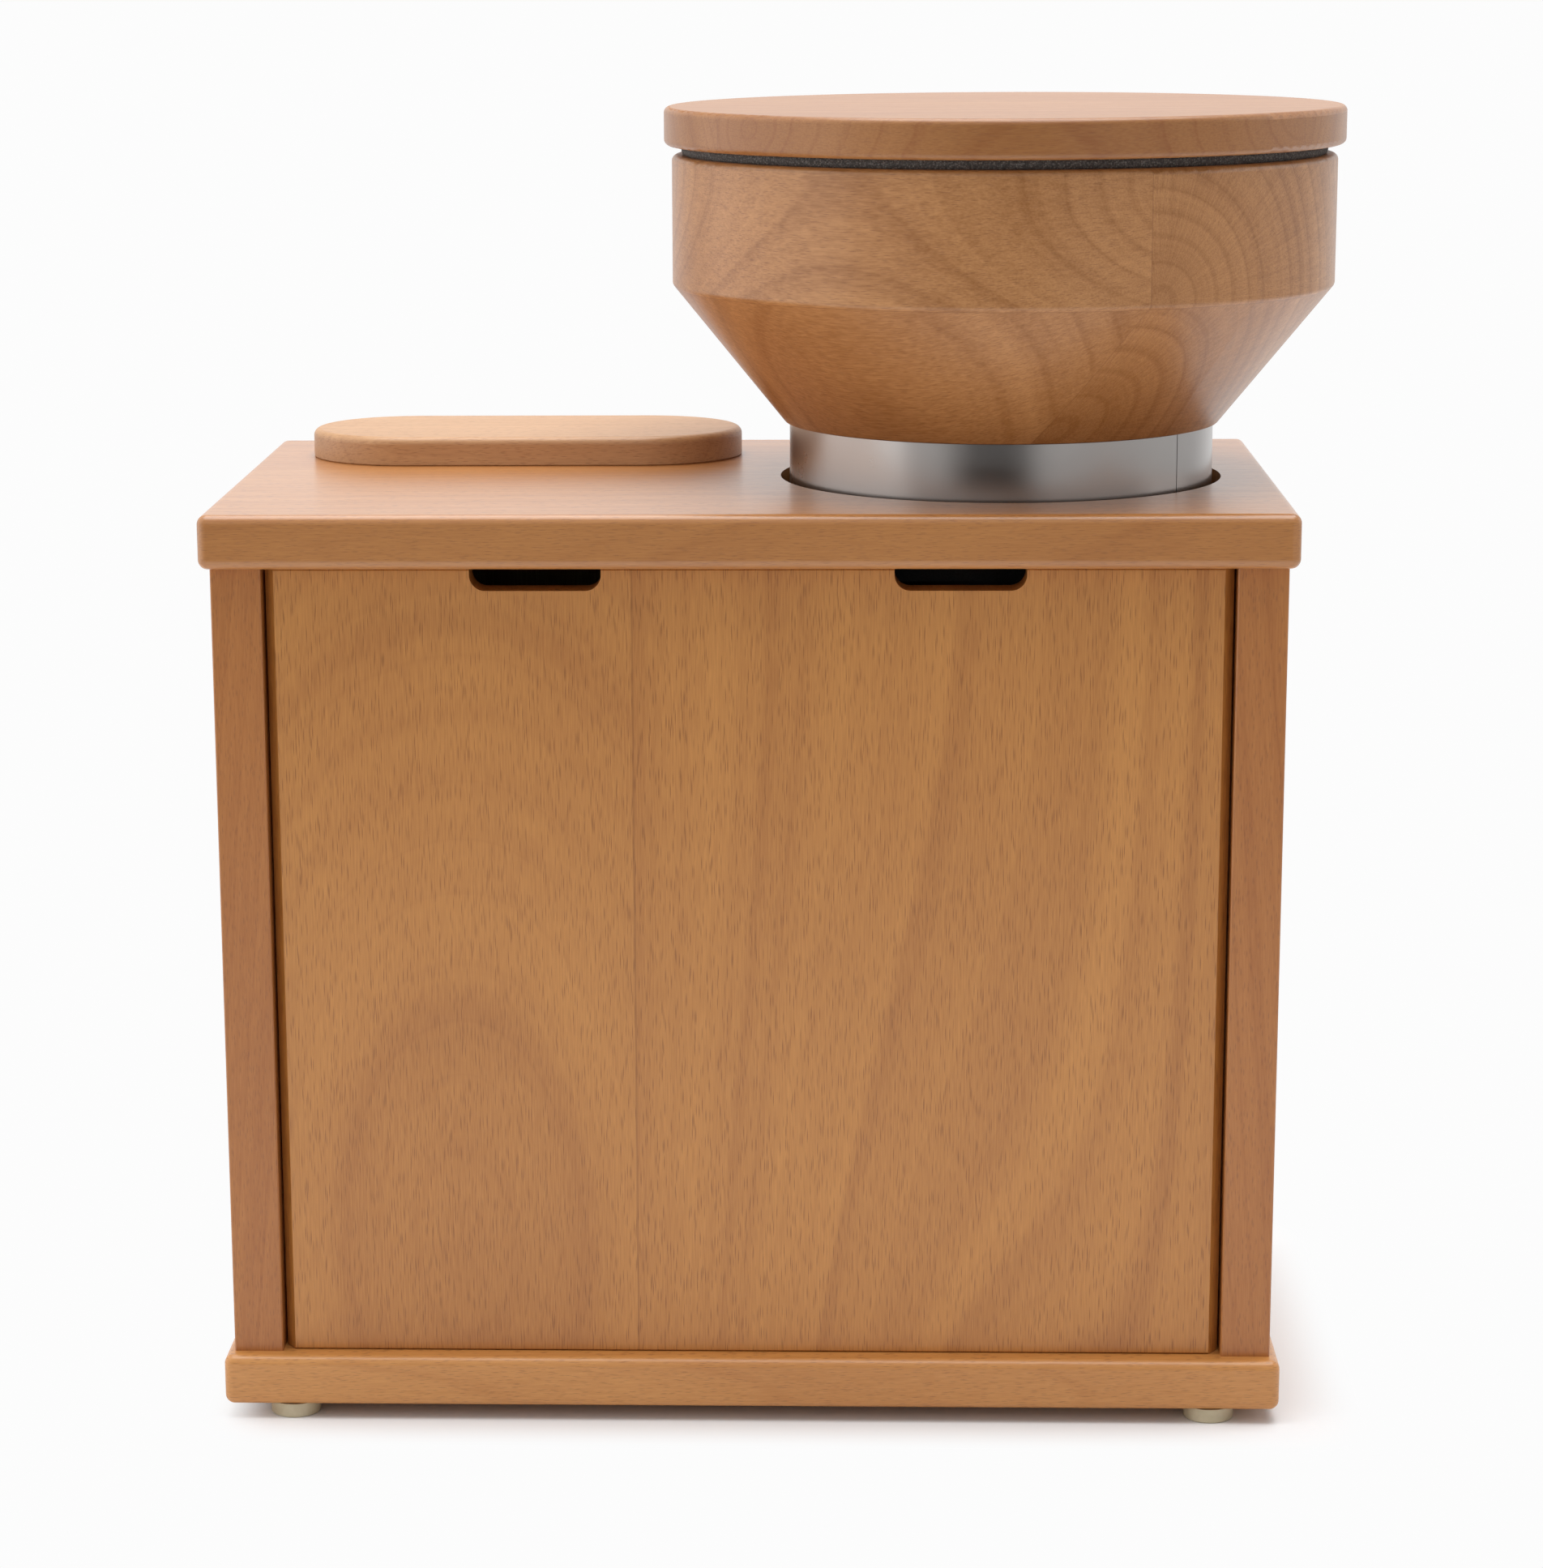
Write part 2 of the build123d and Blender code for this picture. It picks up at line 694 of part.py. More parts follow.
with BuildPart() as bin_side_walls:
    for middle in (bin_left + bin_wall / 2, bin_right - bin_wall / 2):
        with BuildSketch(at(middle, bin_y, bin_z)):
            Rectangle(bin_wall, bin_l)
        extrude(amount=bin_h)
    chamfer(bin_side_walls.edges().filter_by(Axis.Z), arris)
bin_side_walls.part.label = "bin_side_walls"
export_step(bin_side_walls.part, "parts/bin_side_walls.step")

with BuildPart() as bin_floor:
    with BuildSketch(at(bin_x, bin_y, bin_z)):
        Rectangle(bin_w - 2 * bin_wall, bin_l - 2 * bin_wall)
    extrude(amount=bin_floor_t)
bin_floor.part.label = "bin_floor"
export_step(bin_floor.part, "parts/bin_floor.step")

# ================================================================== scoop opening lid
with BuildPart() as oval_lid:
    with BuildSketch(at(cabinet_x + oval_x, oval_y, deck_z)):
        SlotOverall(oval_l, oval_w)
    extrude(amount=oval_t)
    fillet(oval_lid.faces().sort_by(Axis.Z)[-1].edges(), oval_round)
    chamfer(oval_lid.faces().sort_by(Axis.Z)[0].edges(), arris)
oval_lid.part.label = "oval_lid"
export_step(oval_lid.part, "parts/oval_lid.step")

with BuildPart() as oval_lid_plug:
    with BuildSketch(at(cabinet_x + oval_x, oval_y, deck_z)):
        SlotOverall(oval_hole_l - 2 * oval_plug_gap, oval_hole_w - 2 * oval_plug_gap)
    extrude(amount=-oval_plug_t)
    chamfer(oval_lid_plug.faces().sort_by(Axis.Z)[0].edges(), arris)
oval_lid_plug.part.label = "oval_lid_plug"
export_step(oval_lid_plug.part, "parts/oval_lid_plug.step")

# ================================================================== mill housing
seal_pocket_r = 14.0
seal_pocket_z = grind_floor - 4.5
motor_bolt_r = 2.5
motor_bolt_head_r = 5.0
motor_bolt_planes = around_mill(motor_bolt_ring, grind_floor, 4, motor_bolt_phase)
key_z = carrier_z + carrier_t / 2
key_phase = 60.0
key_angles = [key_phase + 120.0 * index for index in range(3)]
key_tip = housing_bore_r - key_depth


def key_planes(radius):
    """Planes on the key axes, facing outwards, at a distance from the mill axis."""
    planes = []
    for angle in key_angles:
        out = (cos(radians(angle)), sin(radians(angle)), 0)
        planes.append(Plane(origin=(mill_x + radius * out[0], radius * out[1], key_z), z_dir=out))
    return planes


with BuildPart() as mill_housing:
    revolve(tube_outline(0, housing_r, housing_z, housing_top), axis=mill_axis)
    with BuildSketch(at(mill_x, 0, flange_z)):
        RectangleRounded(2 * flange_half_w, 2 * flange_half_d, flange_corner_r)
    extrude(amount=flange_t)
    with BuildSketch(Plane(origin=(chute_x, 0, outlet_z), x_dir=(0, 1, 0), z_dir=(1, 0, 0))):
        RectangleRounded(outlet_pad_w, outlet_pad_h, arris)
    extrude(amount=outlet_pad_x - housing_bore_r + key_depth)
    revolve(tube_outline(0, housing_bore_r, grind_floor, housing_top), axis=mill_axis, mode=Mode.SUBTRACT)
    seal_pocket = tube_outline(0, seal_pocket_r + slip, seal_pocket_z, grind_floor)
    revolve(seal_pocket, axis=mill_axis, mode=Mode.SUBTRACT)
    revolve(tube_outline(0, shaft_hole_r, housing_z, seal_pocket_z), axis=mill_axis, mode=Mode.SUBTRACT)
    with BuildSketch(Plane(origin=(chute_x, 0, outlet_z), x_dir=(0, 1, 0), z_dir=(1, 0, 0))):
        Rectangle(outlet_w, outlet_h)
        with Locations((-chute_screw_y, 0), (chute_screw_y, 0)):
            Circle(chute_screw_r + slip)
    extrude(amount=outlet_pad_x - housing_bore_r + outlet_cut_in, mode=Mode.SUBTRACT)
    with BuildSketch(at(0, 0, flange_z)):
        with Locations(*flange_screw_places):
            Circle(flange_screw_r + slip)
    extrude(amount=flange_t, mode=Mode.SUBTRACT)
    with Locations(*motor_bolt_planes):
        CounterSinkHole(motor_bolt_r + slip, motor_bolt_head_r + slip, depth=housing_floor_t)
    for plane in key_planes(key_tip):
        with BuildSketch(plane):
            Circle(key_r + slip)
        extrude(amount=housing_r - key_tip + key_hole_run, mode=Mode.SUBTRACT)
mill_housing.part.label = "mill_housing"
export_step(mill_housing.part, "parts/mill_housing.step")

with BuildPart() as housing_screws:
    with Locations(*[
        Plane(origin=(x, y, flange_z - flange_screw_head), z_dir=(0, 0, -1))
        for x, y in flange_screw_places
    ]):
        add(screw(2 * flange_screw_r, flange_screw_head, flange_screw_r, flange_screw_l))
housing_screws.part.label = "housing_screws"
export_step(housing_screws.part, "parts/housing_screws.step")

with BuildPart() as guide_keys:
    for plane in key_planes(key_tip):
        with BuildSketch(plane):
            Circle(key_r)
        extrude(amount=housing_r - key_tip - arris)
guide_keys.part.label = "guide_keys"
export_step(guide_keys.part, "parts/guide_keys.step")

with BuildPart() as shaft_seal:
    revolve(
        tube_outline(shaft_r + running, seal_pocket_r, seal_pocket_z, grind_floor - arris),
        axis=mill_axis,
    )
shaft_seal.part.label = "shaft_seal"
export_step(shaft_seal.part, "parts/shaft_seal.step")

with BuildPart() as motor_bolts:
    with Locations(*motor_bolt_planes):
        add(screw(motor_bolt_head_r, motor_bolt_head_r - motor_bolt_r, motor_bolt_r, motor_bolt_l, sunk=True))
motor_bolts.part.label = "motor_bolts"
export_step(motor_bolts.part, "parts/motor_bolts.step")

# ================================================================== flour chute
chute_end = chute_x - chute_run
spout_x = chute_end + chute_wall + chute_mouth_l / 2
spout_low = chute_low - chute_drop
chute_plane = Plane(origin=(chute_x, 0, outlet_z), x_dir=(0, 1, 0), z_dir=(1, 0, 0))
with BuildPart() as flour_chute:
    with BuildSketch(chute_plane):
        Rectangle(outlet_pad_w, outlet_pad_h)
    extrude(amount=-chute_flange_t)
    with BuildSketch(chute_plane):
        Rectangle(chute_outer_w, outlet_h + 2 * chute_wall)
    extrude(amount=-chute_run)
    with BuildSketch(at(spout_x, 0, spout_low)):
        Rectangle(chute_mouth_l + 2 * chute_wall, chute_outer_w)
    extrude(amount=chute_drop)
    with BuildSketch(chute_plane):
        Rectangle(outlet_w, outlet_h)
    extrude(amount=-(chute_run - chute_wall), mode=Mode.SUBTRACT)
    with BuildSketch(at(spout_x, 0, spout_low)):
        Rectangle(chute_mouth_l, outlet_w)
    extrude(amount=chute_drop + chute_wall, mode=Mode.SUBTRACT)
    with BuildSketch(chute_plane):
        with Locations((-chute_screw_y, 0), (chute_screw_y, 0)):
            Circle(chute_screw_r + slip)
    extrude(amount=-chute_flange_t, mode=Mode.SUBTRACT)
flour_chute.part.label = "flour_chute"
export_step(flour_chute.part, "parts/flour_chute.step")

with BuildPart() as chute_screws:
    with Locations(*[
        Plane(origin=(chute_x - chute_flange_t - chute_screw_head_h, y, outlet_z), z_dir=(-1, 0, 0))
        for y in (-chute_screw_y, chute_screw_y)
    ]):
        add(screw(chute_screw_head_r, chute_screw_head_h, chute_screw_r, chute_screw_l))
chute_screws.part.label = "chute_screws"
export_step(chute_screws.part, "parts/chute_screws.step")

# ================================================================== stones
with BuildPart() as runner_stone:
    revolve(tube_outline(runner_bore_r, stone_r, runner_z, runner_top), axis=mill_axis)
    chamfer(runner_stone.faces().sort_by(Axis.Z)[-1].edges(), arris)
    with BuildSketch(*around_mill(stone_r - furrow_l / 2, runner_top, furrow_count)):
        with Locations(Location((0, 0, 0), (0, 0, furrow_skew))):
            Rectangle(furrow_l, furrow_w)
    extrude(amount=-furrow_depth, mode=Mode.SUBTRACT)
runner_stone.part.label = "runner_stone"
export_step(runner_stone.part, "parts/runner_stone.step")

with BuildPart() as upper_stone:
    revolve(tube_outline(stone_eye_r, stone_r, upper_stone_z, carrier_z), axis=mill_axis)
    chamfer(upper_stone.faces().sort_by(Axis.Z)[0].edges(), arris)
    with BuildSketch(*around_mill(stone_r - furrow_l / 2, upper_stone_z, furrow_count)):
        with Locations(Location((0, 0, 0), (0, 0, -furrow_skew))):
            Rectangle(furrow_l, furrow_w)
    extrude(amount=furrow_depth, mode=Mode.SUBTRACT)
    with BuildSketch(*around_mill(carrier_screw_ring, carrier_z, carrier_screw_count)):
        Circle(carrier_screw_r + slip)
    extrude(amount=-(carrier_screw_l - carrier_t), mode=Mode.SUBTRACT)
upper_stone.part.label = "upper_stone"
export_step(upper_stone.part, "parts/upper_stone.step")

neck_r = ring_bore_r - running
snap_z = carrier_top + carrier_neck_h / 2
with BuildPart() as stone_carrier:
    revolve(
        outline(
            (carrier_eye_r, carrier_z),
            (thread_r, carrier_z),
            (thread_r, carrier_top),
            (neck_r, carrier_top),
            (neck_r, snap_z - snap_groove / 2),
            (neck_r - snap_ring_w / 2, snap_z - snap_groove / 2),
            (neck_r - snap_ring_w / 2, snap_z + snap_groove / 2),
            (neck_r, snap_z + snap_groove / 2),
            (neck_r, carrier_top + carrier_neck_h),
            (neck_r - carrier_neck_wall, carrier_top + carrier_neck_h),
            (neck_r - carrier_neck_wall, carrier_top),
            (carrier_eye_r, carrier_top),
        ),
        axis=mill_axis,
    )
    for plane in key_planes(key_tip - key_end_gap):
        with BuildSketch(plane):
            Rectangle(2 * (key_r + running), 4 * carrier_t)
        extrude(amount=2 * key_depth, mode=Mode.SUBTRACT)
    with Locations(*around_mill(carrier_screw_ring, carrier_top, carrier_screw_count)):
        CounterSinkHole(carrier_screw_r + slip, carrier_screw_head_r + slip, depth=carrier_t)
stone_carrier.part.label = "stone_carrier"
export_step(stone_carrier.part, "parts/stone_carrier.step")

carrier_head_h = carrier_screw_head_r - carrier_screw_r
with BuildPart() as carrier_screws:
    with Locations(*around_mill(carrier_screw_ring, carrier_top, carrier_screw_count)):
        add(screw(carrier_screw_head_r, carrier_head_h, carrier_screw_r, carrier_screw_l, sunk=True))
carrier_screws.part.label = "carrier_screws"
export_step(carrier_screws.part, "parts/carrier_screws.step")

snap_inner = neck_r - snap_ring_w / 2 + slip
snap_outer = snap_inner + snap_ring_w - snap_ring_gap
with BuildPart() as snap_ring:
    revolve(
        tube_outline(snap_inner, snap_outer, snap_z - snap_ring_t / 2, snap_z + snap_ring_t / 2),
        axis=mill_axis,
    )
snap_ring.part.label = "snap_ring"
export_step(snap_ring.part, "parts/snap_ring.step")

# ================================================================== hopper
ring_groove_r = snap_inner + snap_ring_w
feed_recess_z = ring_top - feed_flange_t
hopper_screw_planes = [
    Plane(origin=plane.origin, x_dir=plane.x_dir, z_dir=(0, 0, -1))
    for plane in around_mill(hopper_screw_ring, ring_z, hopper_screw_count, hopper_screw_phase)
]
with BuildPart() as adjusting_ring:
    revolve(
        outline(
            (ring_bore_r, carrier_top),
            (thread_r, carrier_top),
            (thread_r, ring_z),
            (collar_inner_r - slip, ring_z),
            (collar_inner_r - slip, ring_top),
            (feed_flange_r + slip, ring_top),
            (feed_flange_r + slip, feed_recess_z),
            (ring_bore_r, feed_recess_z),
            (ring_bore_r, snap_z + snap_groove / 2),
            (ring_groove_r, snap_z + snap_groove / 2),
            (ring_groove_r, snap_z - snap_groove / 2),
            (ring_bore_r, snap_z - snap_groove / 2),
        ),
        axis=mill_axis,
    )
    with Locations(*hopper_screw_planes):
        CounterSinkHole(hopper_screw_r + slip, hopper_screw_head_r + slip, depth=ring_flange_t)
adjusting_ring.part.label = "adjusting_ring"
export_step(adjusting_ring.part, "parts/adjusting_ring.step")

with BuildPart() as collar_sleeve:
    revolve(tube_outline(collar_inner_r, collar_r, deck_z - collar_drop, collar_top), axis=mill_axis)
collar_sleeve.part.label = "collar_sleeve"
export_step(collar_sleeve.part, "parts/collar_sleeve.step")

cone_z = collar_top + hopper_cone_h
bowl_r = hopper_r - hopper_wall
bowl_z = rim_z - hopper_bowl_depth
throat_z = spigot_z + hopper_throat_l
with BuildPart() as hopper:
    with BuildSketch(mill_section) as hopper_profile:
        with BuildLine():
            Polyline(
                (hopper_throat_r, spigot_z),
                (collar_inner_r - slip, spigot_z),
                (collar_inner_r - slip, collar_top),
                (hopper_neck_r, collar_top),
                (hopper_r, cone_z),
                (hopper_r, rim_z),
                (bowl_r, rim_z),
                (bowl_r, bowl_z),
                (hopper_throat_r, throat_z),
                close=True,
            )
        make_face()
        fillet(hopper_profile.vertices().group_by(Axis.Y)[-1], hopper_rim_round)
        fillet(hopper_profile.vertices().sort_by_distance((hopper_r, cone_z))[0], hopper_shoulder_round)
        fillet(hopper_profile.vertices().sort_by_distance((hopper_neck_r, collar_top))[0], hopper_neck_round)
    revolve(axis=mill_axis)
    with BuildSketch(*around_mill(hopper_screw_ring, spigot_z, hopper_screw_count, hopper_screw_phase)):
        Circle(hopper_screw_r + slip)
    extrude(amount=hopper_screw_l - ring_flange_t, mode=Mode.SUBTRACT)
    # The blank is glued from layers of quarter blocks, which meet face to face.
    for layer_z in (cone_z - hopper_joint_drop, bowl_z):
        split(bisect_by=Plane((mill_x, 0, layer_z)), keep=Keep.BOTH)
    for seam_dir in ((1, 1, 0), (1, -1, 0)):
        split(bisect_by=Plane((mill_x, 0, 0), z_dir=seam_dir), keep=Keep.BOTH)
hopper.part.label = "hopper"
export_step(hopper.part, "parts/hopper.step")

hopper_head_h = hopper_screw_head_r - hopper_screw_r
with BuildPart() as hopper_screws:
    with Locations(*hopper_screw_planes):
        add(screw(hopper_screw_head_r, hopper_head_h, hopper_screw_r, hopper_screw_l, sunk=True))
hopper_screws.part.label = "hopper_screws"
export_step(hopper_screws.part, "parts/hopper_screws.step")

feed_end = carrier_z + feed_end_gap
feed_tube_r = hopper_throat_r + feed_wall
with BuildPart() as feed_tube:
    revolve(tube_outline(hopper_throat_r, feed_tube_r, feed_end, ring_top), axis=mill_axis)
feed_tube.part.label = "feed_tube"
export_step(feed_tube.part, "parts/feed_tube.step")

with BuildPart() as feed_plate:
    revolve(tube_outline(feed_tube_r + slip, feed_flange_r, feed_recess_z, ring_top), axis=mill_axis)
feed_plate.part.label = "feed_plate"
export_step(feed_plate.part, "parts/feed_plate.step")

with BuildPart() as lid_seal:
    revolve(tube_outline(seal_r - seal_w, seal_r, rim_z, lid_z), axis=mill_axis)
lid_seal.part.label = "lid_seal"
export_step(lid_seal.part, "parts/lid_seal.step")

with BuildPart() as hopper_lid:
    with BuildSketch(mill_section) as lid_profile:
        with BuildLine():
            Polyline((0, lid_z), (lid_r, lid_z), (lid_r, lid_z + lid_t), (0, lid_z + lid_t), close=True)
        make_face()
        fillet(lid_profile.vertices().group_by(Axis.X)[-1], lid_round)
    revolve(axis=mill_axis)
hopper_lid.part.label = "hopper_lid"
export_step(hopper_lid.part, "parts/hopper_lid.step")

with BuildPart() as hopper_lid_plug:
    revolve(tube_outline(0, seal_r - seal_w - lid_plug_gap, lid_z - lid_plug_t, lid_z), axis=mill_axis)
    chamfer(hopper_lid_plug.faces().sort_by(Axis.Z)[0].edges(), arris)
hopper_lid_plug.part.label = "hopper_lid_plug"
export_step(hopper_lid_plug.part, "parts/hopper_lid_plug.step")

# ================================================================== runner holder and shaft
pilot_top = runner_z + holder_pilot_h
shaft_end = pilot_top + washer_t + nut_t + stud_show
with BuildPart() as stone_holder:
    revolve(
        outline(
            (shaft_r + slip, grind_floor + holder_floor_gap),
            (holder_hub_r, grind_floor + holder_floor_gap),
            (holder_hub_r, holder_z),
            (holder_rim_r, holder_z),
            (holder_rim_r, runner_z),
            (runner_bore_r - slip, runner_z),
            (runner_bore_r - slip, pilot_top),
            (stud_r + slip, pilot_top),
            (stud_r + slip, runner_z),
            (shaft_r + slip, runner_z),
        ),
        axis=mill_axis,
    )
    sweeper_r = housing_bore_r - sweeper_wall_gap - sweeper_l / 2
    with BuildSketch(*around_mill(sweeper_r, grind_floor + sweeper_floor_gap, sweeper_count)):
        Rectangle(sweeper_l, sweeper_t)
    extrude(amount=runner_z - grind_floor - sweeper_floor_gap)
    revolve(
        tube_outline(housing_bore_r - sweeper_wall_gap, housing_bore_r + 1, grind_floor, runner_z),
        axis=mill_axis,
        mode=Mode.SUBTRACT,
    )
stone_holder.part.label = "stone_holder"
export_step(stone_holder.part, "parts/stone_holder.step")

fan_z = lower_shield_z - 4.0 - fan_h
with BuildPart() as motor_shaft:
    revolve(
        outline(
            (0, fan_z),
            (shaft_r, fan_z),
            (shaft_r, runner_z),
            (stud_r, runner_z),
            (stud_r, shaft_end),
            (0, shaft_end),
        ),
        axis=mill_axis,
    )
    chamfer(motor_shaft.faces().sort_by(Axis.Z)[-1].edges(), 2 * arris)
motor_shaft.part.label = "motor_shaft"
export_step(motor_shaft.part, "parts/motor_shaft.step")

with BuildPart() as stone_nut:
    with BuildSketch(at(mill_x, 0, pilot_top)):
        Circle(washer_r)
        Circle(stud_r + slip, mode=Mode.SUBTRACT)
    extrude(amount=washer_t)
    with BuildSketch(at(mill_x, 0, pilot_top + washer_t)):
        RegularPolygon(nut_r, 6)
        Circle(stud_r + slip, mode=Mode.SUBTRACT)
    extrude(amount=nut_t)
stone_nut.part.label = "stone_nut"
export_step(stone_nut.part, "parts/stone_nut.step")

stator_z = shell_z + stator_lift
with BuildPart() as rotor_core:
    revolve(tube_outline(shaft_r + slip, rotor_r, stator_z - 2, stator_z + stator_l + 2), axis=mill_axis)
    chamfer(rotor_core.edges().filter_by(GeomType.CIRCLE).sort_by(SortBy.RADIUS)[-2:], 2 * arris)
rotor_core.part.label = "rotor_core"
export_step(rotor_core.part, "parts/rotor_core.step")

with BuildPart() as cooling_fan:
    revolve(tube_outline(shaft_r + slip, fan_hub_r, fan_z, fan_z + fan_h), axis=mill_axis)
    revolve(tube_outline(fan_hub_r - 1, fan_r, fan_z + fan_h - fan_disc_t, fan_z + fan_h), axis=mill_axis)
    with BuildSketch(*around_mill((fan_hub_r + fan_r) / 2 - 1, fan_z, fan_blades)):
        Rectangle(fan_r - fan_hub_r + 1, fan_disc_t)
    extrude(amount=fan_h - fan_disc_t)
cooling_fan.part.label = "cooling_fan"
export_step(cooling_fan.part, "parts/cooling_fan.step")

# ================================================================== motor
bearing_top = shell_top - bearing_seat + bearing_h
with BuildPart() as motor_top_shield:
    revolve(
        outline(
            (shaft_hole_r, shell_top - bearing_seat),
            (bearing_boss_r, shell_top - bearing_seat),
            (bearing_boss_r, shell_top),
            (motor_r, shell_top),
            (motor_r, housing_z),
            (shaft_hole_r, housing_z),
        ),
        axis=mill_axis,
    )
    revolve(
        tube_outline(shaft_hole_r - 1, bearing_r + slip, shell_top - bearing_seat, bearing_top),
        axis=mill_axis,
        mode=Mode.SUBTRACT,
    )
    with BuildSketch(*around_mill(motor_bolt_ring, housing_z, 4, motor_bolt_phase)):
        Circle(motor_bolt_r + slip)
    extrude(amount=-(motor_bolt_l - housing_floor_t), mode=Mode.SUBTRACT)
motor_top_shield.part.label = "motor_top_shield"
export_step(motor_top_shield.part, "parts/motor_top_shield.step")

lower_bearing_z = shell_z + bearing_seat - bearing_h
with BuildPart() as motor_lower_shield:
    revolve(
        outline(
            (shaft_hole_r, lower_shield_z),
            (motor_r, lower_shield_z),
            (motor_r, shell_z),
            (bearing_boss_r, shell_z),
            (bearing_boss_r, shell_z + bearing_seat),
            (shaft_hole_r, shell_z + bearing_seat),
        ),
        axis=mill_axis,
    )
    revolve(
        tube_outline(shaft_hole_r - 1, bearing_r + slip, lower_bearing_z, shell_z + bearing_seat),
        axis=mill_axis,
        mode=Mode.SUBTRACT,
    )
motor_lower_shield.part.label = "motor_lower_shield"
export_step(motor_lower_shield.part, "parts/motor_lower_shield.step")

with BuildPart() as shaft_bearings:
    for low in (lower_bearing_z, shell_top - bearing_seat):
        revolve(tube_outline(shaft_r + running, bearing_r, low, low + bearing_h), axis=mill_axis)
shaft_bearings.part.label = "shaft_bearings"
export_step(shaft_bearings.part, "parts/shaft_bearings.step")

with BuildPart() as motor_shell:
    revolve(tube_outline(motor_r - motor_wall, motor_r, shell_z, shell_top), axis=mill_axis)
motor_shell.part.label = "motor_shell"
export_step(motor_shell.part, "parts/motor_shell.step")

with BuildPart() as stator_core:
    revolve(
        tube_outline(stator_bore_r, motor_r - motor_wall - slip, stator_z, stator_z + stator_l),
        axis=mill_axis,
    )
stator_core.part.label = "stator_core"
export_step(stator_core.part, "parts/stator_core.step")

with BuildPart() as stator_windings:
    for low in (stator_z - winding_h, stator_z + stator_l):
        revolve(tube_outline(winding_r[0], winding_r[1], low, low + winding_h), axis=mill_axis)
stator_windings.part.label = "stator_windings"
export_step(stator_windings.part, "parts/stator_windings.step")

with BuildPart() as fan_cover:
    revolve(
        outline(
            (0, fan_cover_z),
            (motor_r, fan_cover_z),
            (motor_r, lower_shield_z),
            (motor_r - fan_cover_wall, lower_shield_z),
            (motor_r - fan_cover_wall, fan_cover_z + fan_cover_wall),
            (0, fan_cover_z + fan_cover_wall),
        ),
        axis=mill_axis,
    )
    with BuildSketch(*around_mill(fan_r - fan_cover_slot_in, fan_cover_z, fan_cover_holes)):
        SlotOverall(fan_cover_slot_l, fan_cover_slot_w)
    extrude(amount=fan_cover_wall, mode=Mode.SUBTRACT)
fan_cover.part.label = "fan_cover"
export_step(fan_cover.part, "parts/fan_cover.step")

# ================================================================== electrical fittings
run_capacitor_z = floor_z + cup_wall
with BuildPart() as run_capacitor:
    with BuildSketch(at(cabinet_x + capacitor_x, capacitor_y, run_capacitor_z)):
        Circle(capacitor_r)
    extrude(amount=capacitor_h)
    fillet(run_capacitor.edges(), capacitor_round)
run_capacitor.part.label = "run_capacitor"
export_step(run_capacitor.part, "parts/run_capacitor.step")

with BuildPart() as capacitor_cup:
    with BuildSketch(at(cabinet_x + capacitor_x, capacitor_y, floor_z)):
        Circle(capacitor_r + slip + cup_wall)
    extrude(amount=cup_h)
    with BuildSketch(at(cabinet_x + capacitor_x, capacitor_y, run_capacitor_z)):
        Circle(capacitor_r + slip)
    extrude(amount=cup_h, mode=Mode.SUBTRACT)
capacitor_cup.part.label = "capacitor_cup"
export_step(capacitor_cup.part, "parts/capacitor_cup.step")

pivot_y = back_outer_y
well_half_w = rocker_w / 2 + well_side_gap
sweep_r = (rocker_reach ** 2 + rocker_crown ** 2) ** 0.5
well_half_h = sweep_r + rocker_clearance
tilt = radians(rocker_tilt)
well_depth = rocker_depth * cos(tilt) + rocker_foot * sin(tilt) + well_floor_gap
with BuildPart() as switch_body:
    with BuildSketch(facing_back(fitting_back, back_outer_y, switch_z)):
        RectangleRounded(bezel_w, bezel_h, bezel_round)
    extrude(amount=bezel_t)
    with BuildSketch(facing_back(fitting_back, back_outer_y, switch_z)):
        Rectangle(switch_w, switch_h)
    extrude(amount=-switch_depth)
    with BuildSketch(facing_back(fitting_back, back_outer_y + bezel_t, switch_z)):
        Rectangle(2 * well_half_w, 2 * well_half_h)
    extrude(amount=-(bezel_t + well_depth), mode=Mode.SUBTRACT)
    with BuildSketch(Plane(origin=(fitting_back, pivot_y, switch_z), z_dir=(1, 0, 0))):
        Circle(trunnion_r + running)
    extrude(amount=rocker_w / 2 + trunnion_l + trunnion_end_gap, both=True, mode=Mode.SUBTRACT)
switch_body.part.label = "switch_body"
export_step(switch_body.part, "parts/switch_body.step")

rocker_up = (0, sin(tilt), cos(tilt))
rocker_plane = Plane(origin=(fitting_back, pivot_y, switch_z), x_dir=rocker_up, z_dir=(-1, 0, 0))
with BuildPart() as rocker:
    with BuildSketch(rocker_plane):
        with BuildLine():
            Polyline(
                (-rocker_reach, rocker_crown),
                (0, rocker_crown - rocker_dish),
                (rocker_reach, rocker_crown),
                (rocker_reach, 0),
                (rocker_foot, -rocker_depth),
                (-rocker_foot, -rocker_depth),
                (-rocker_reach, 0),
                close=True,
            )
        make_face()
    extrude(amount=rocker_w / 2, both=True)
    with BuildSketch(rocker_plane):
        Circle(trunnion_r)
    extrude(amount=rocker_w / 2 + trunnion_l, both=True)
rocker.part.label = "rocker"
export_step(rocker.part, "parts/rocker.step")

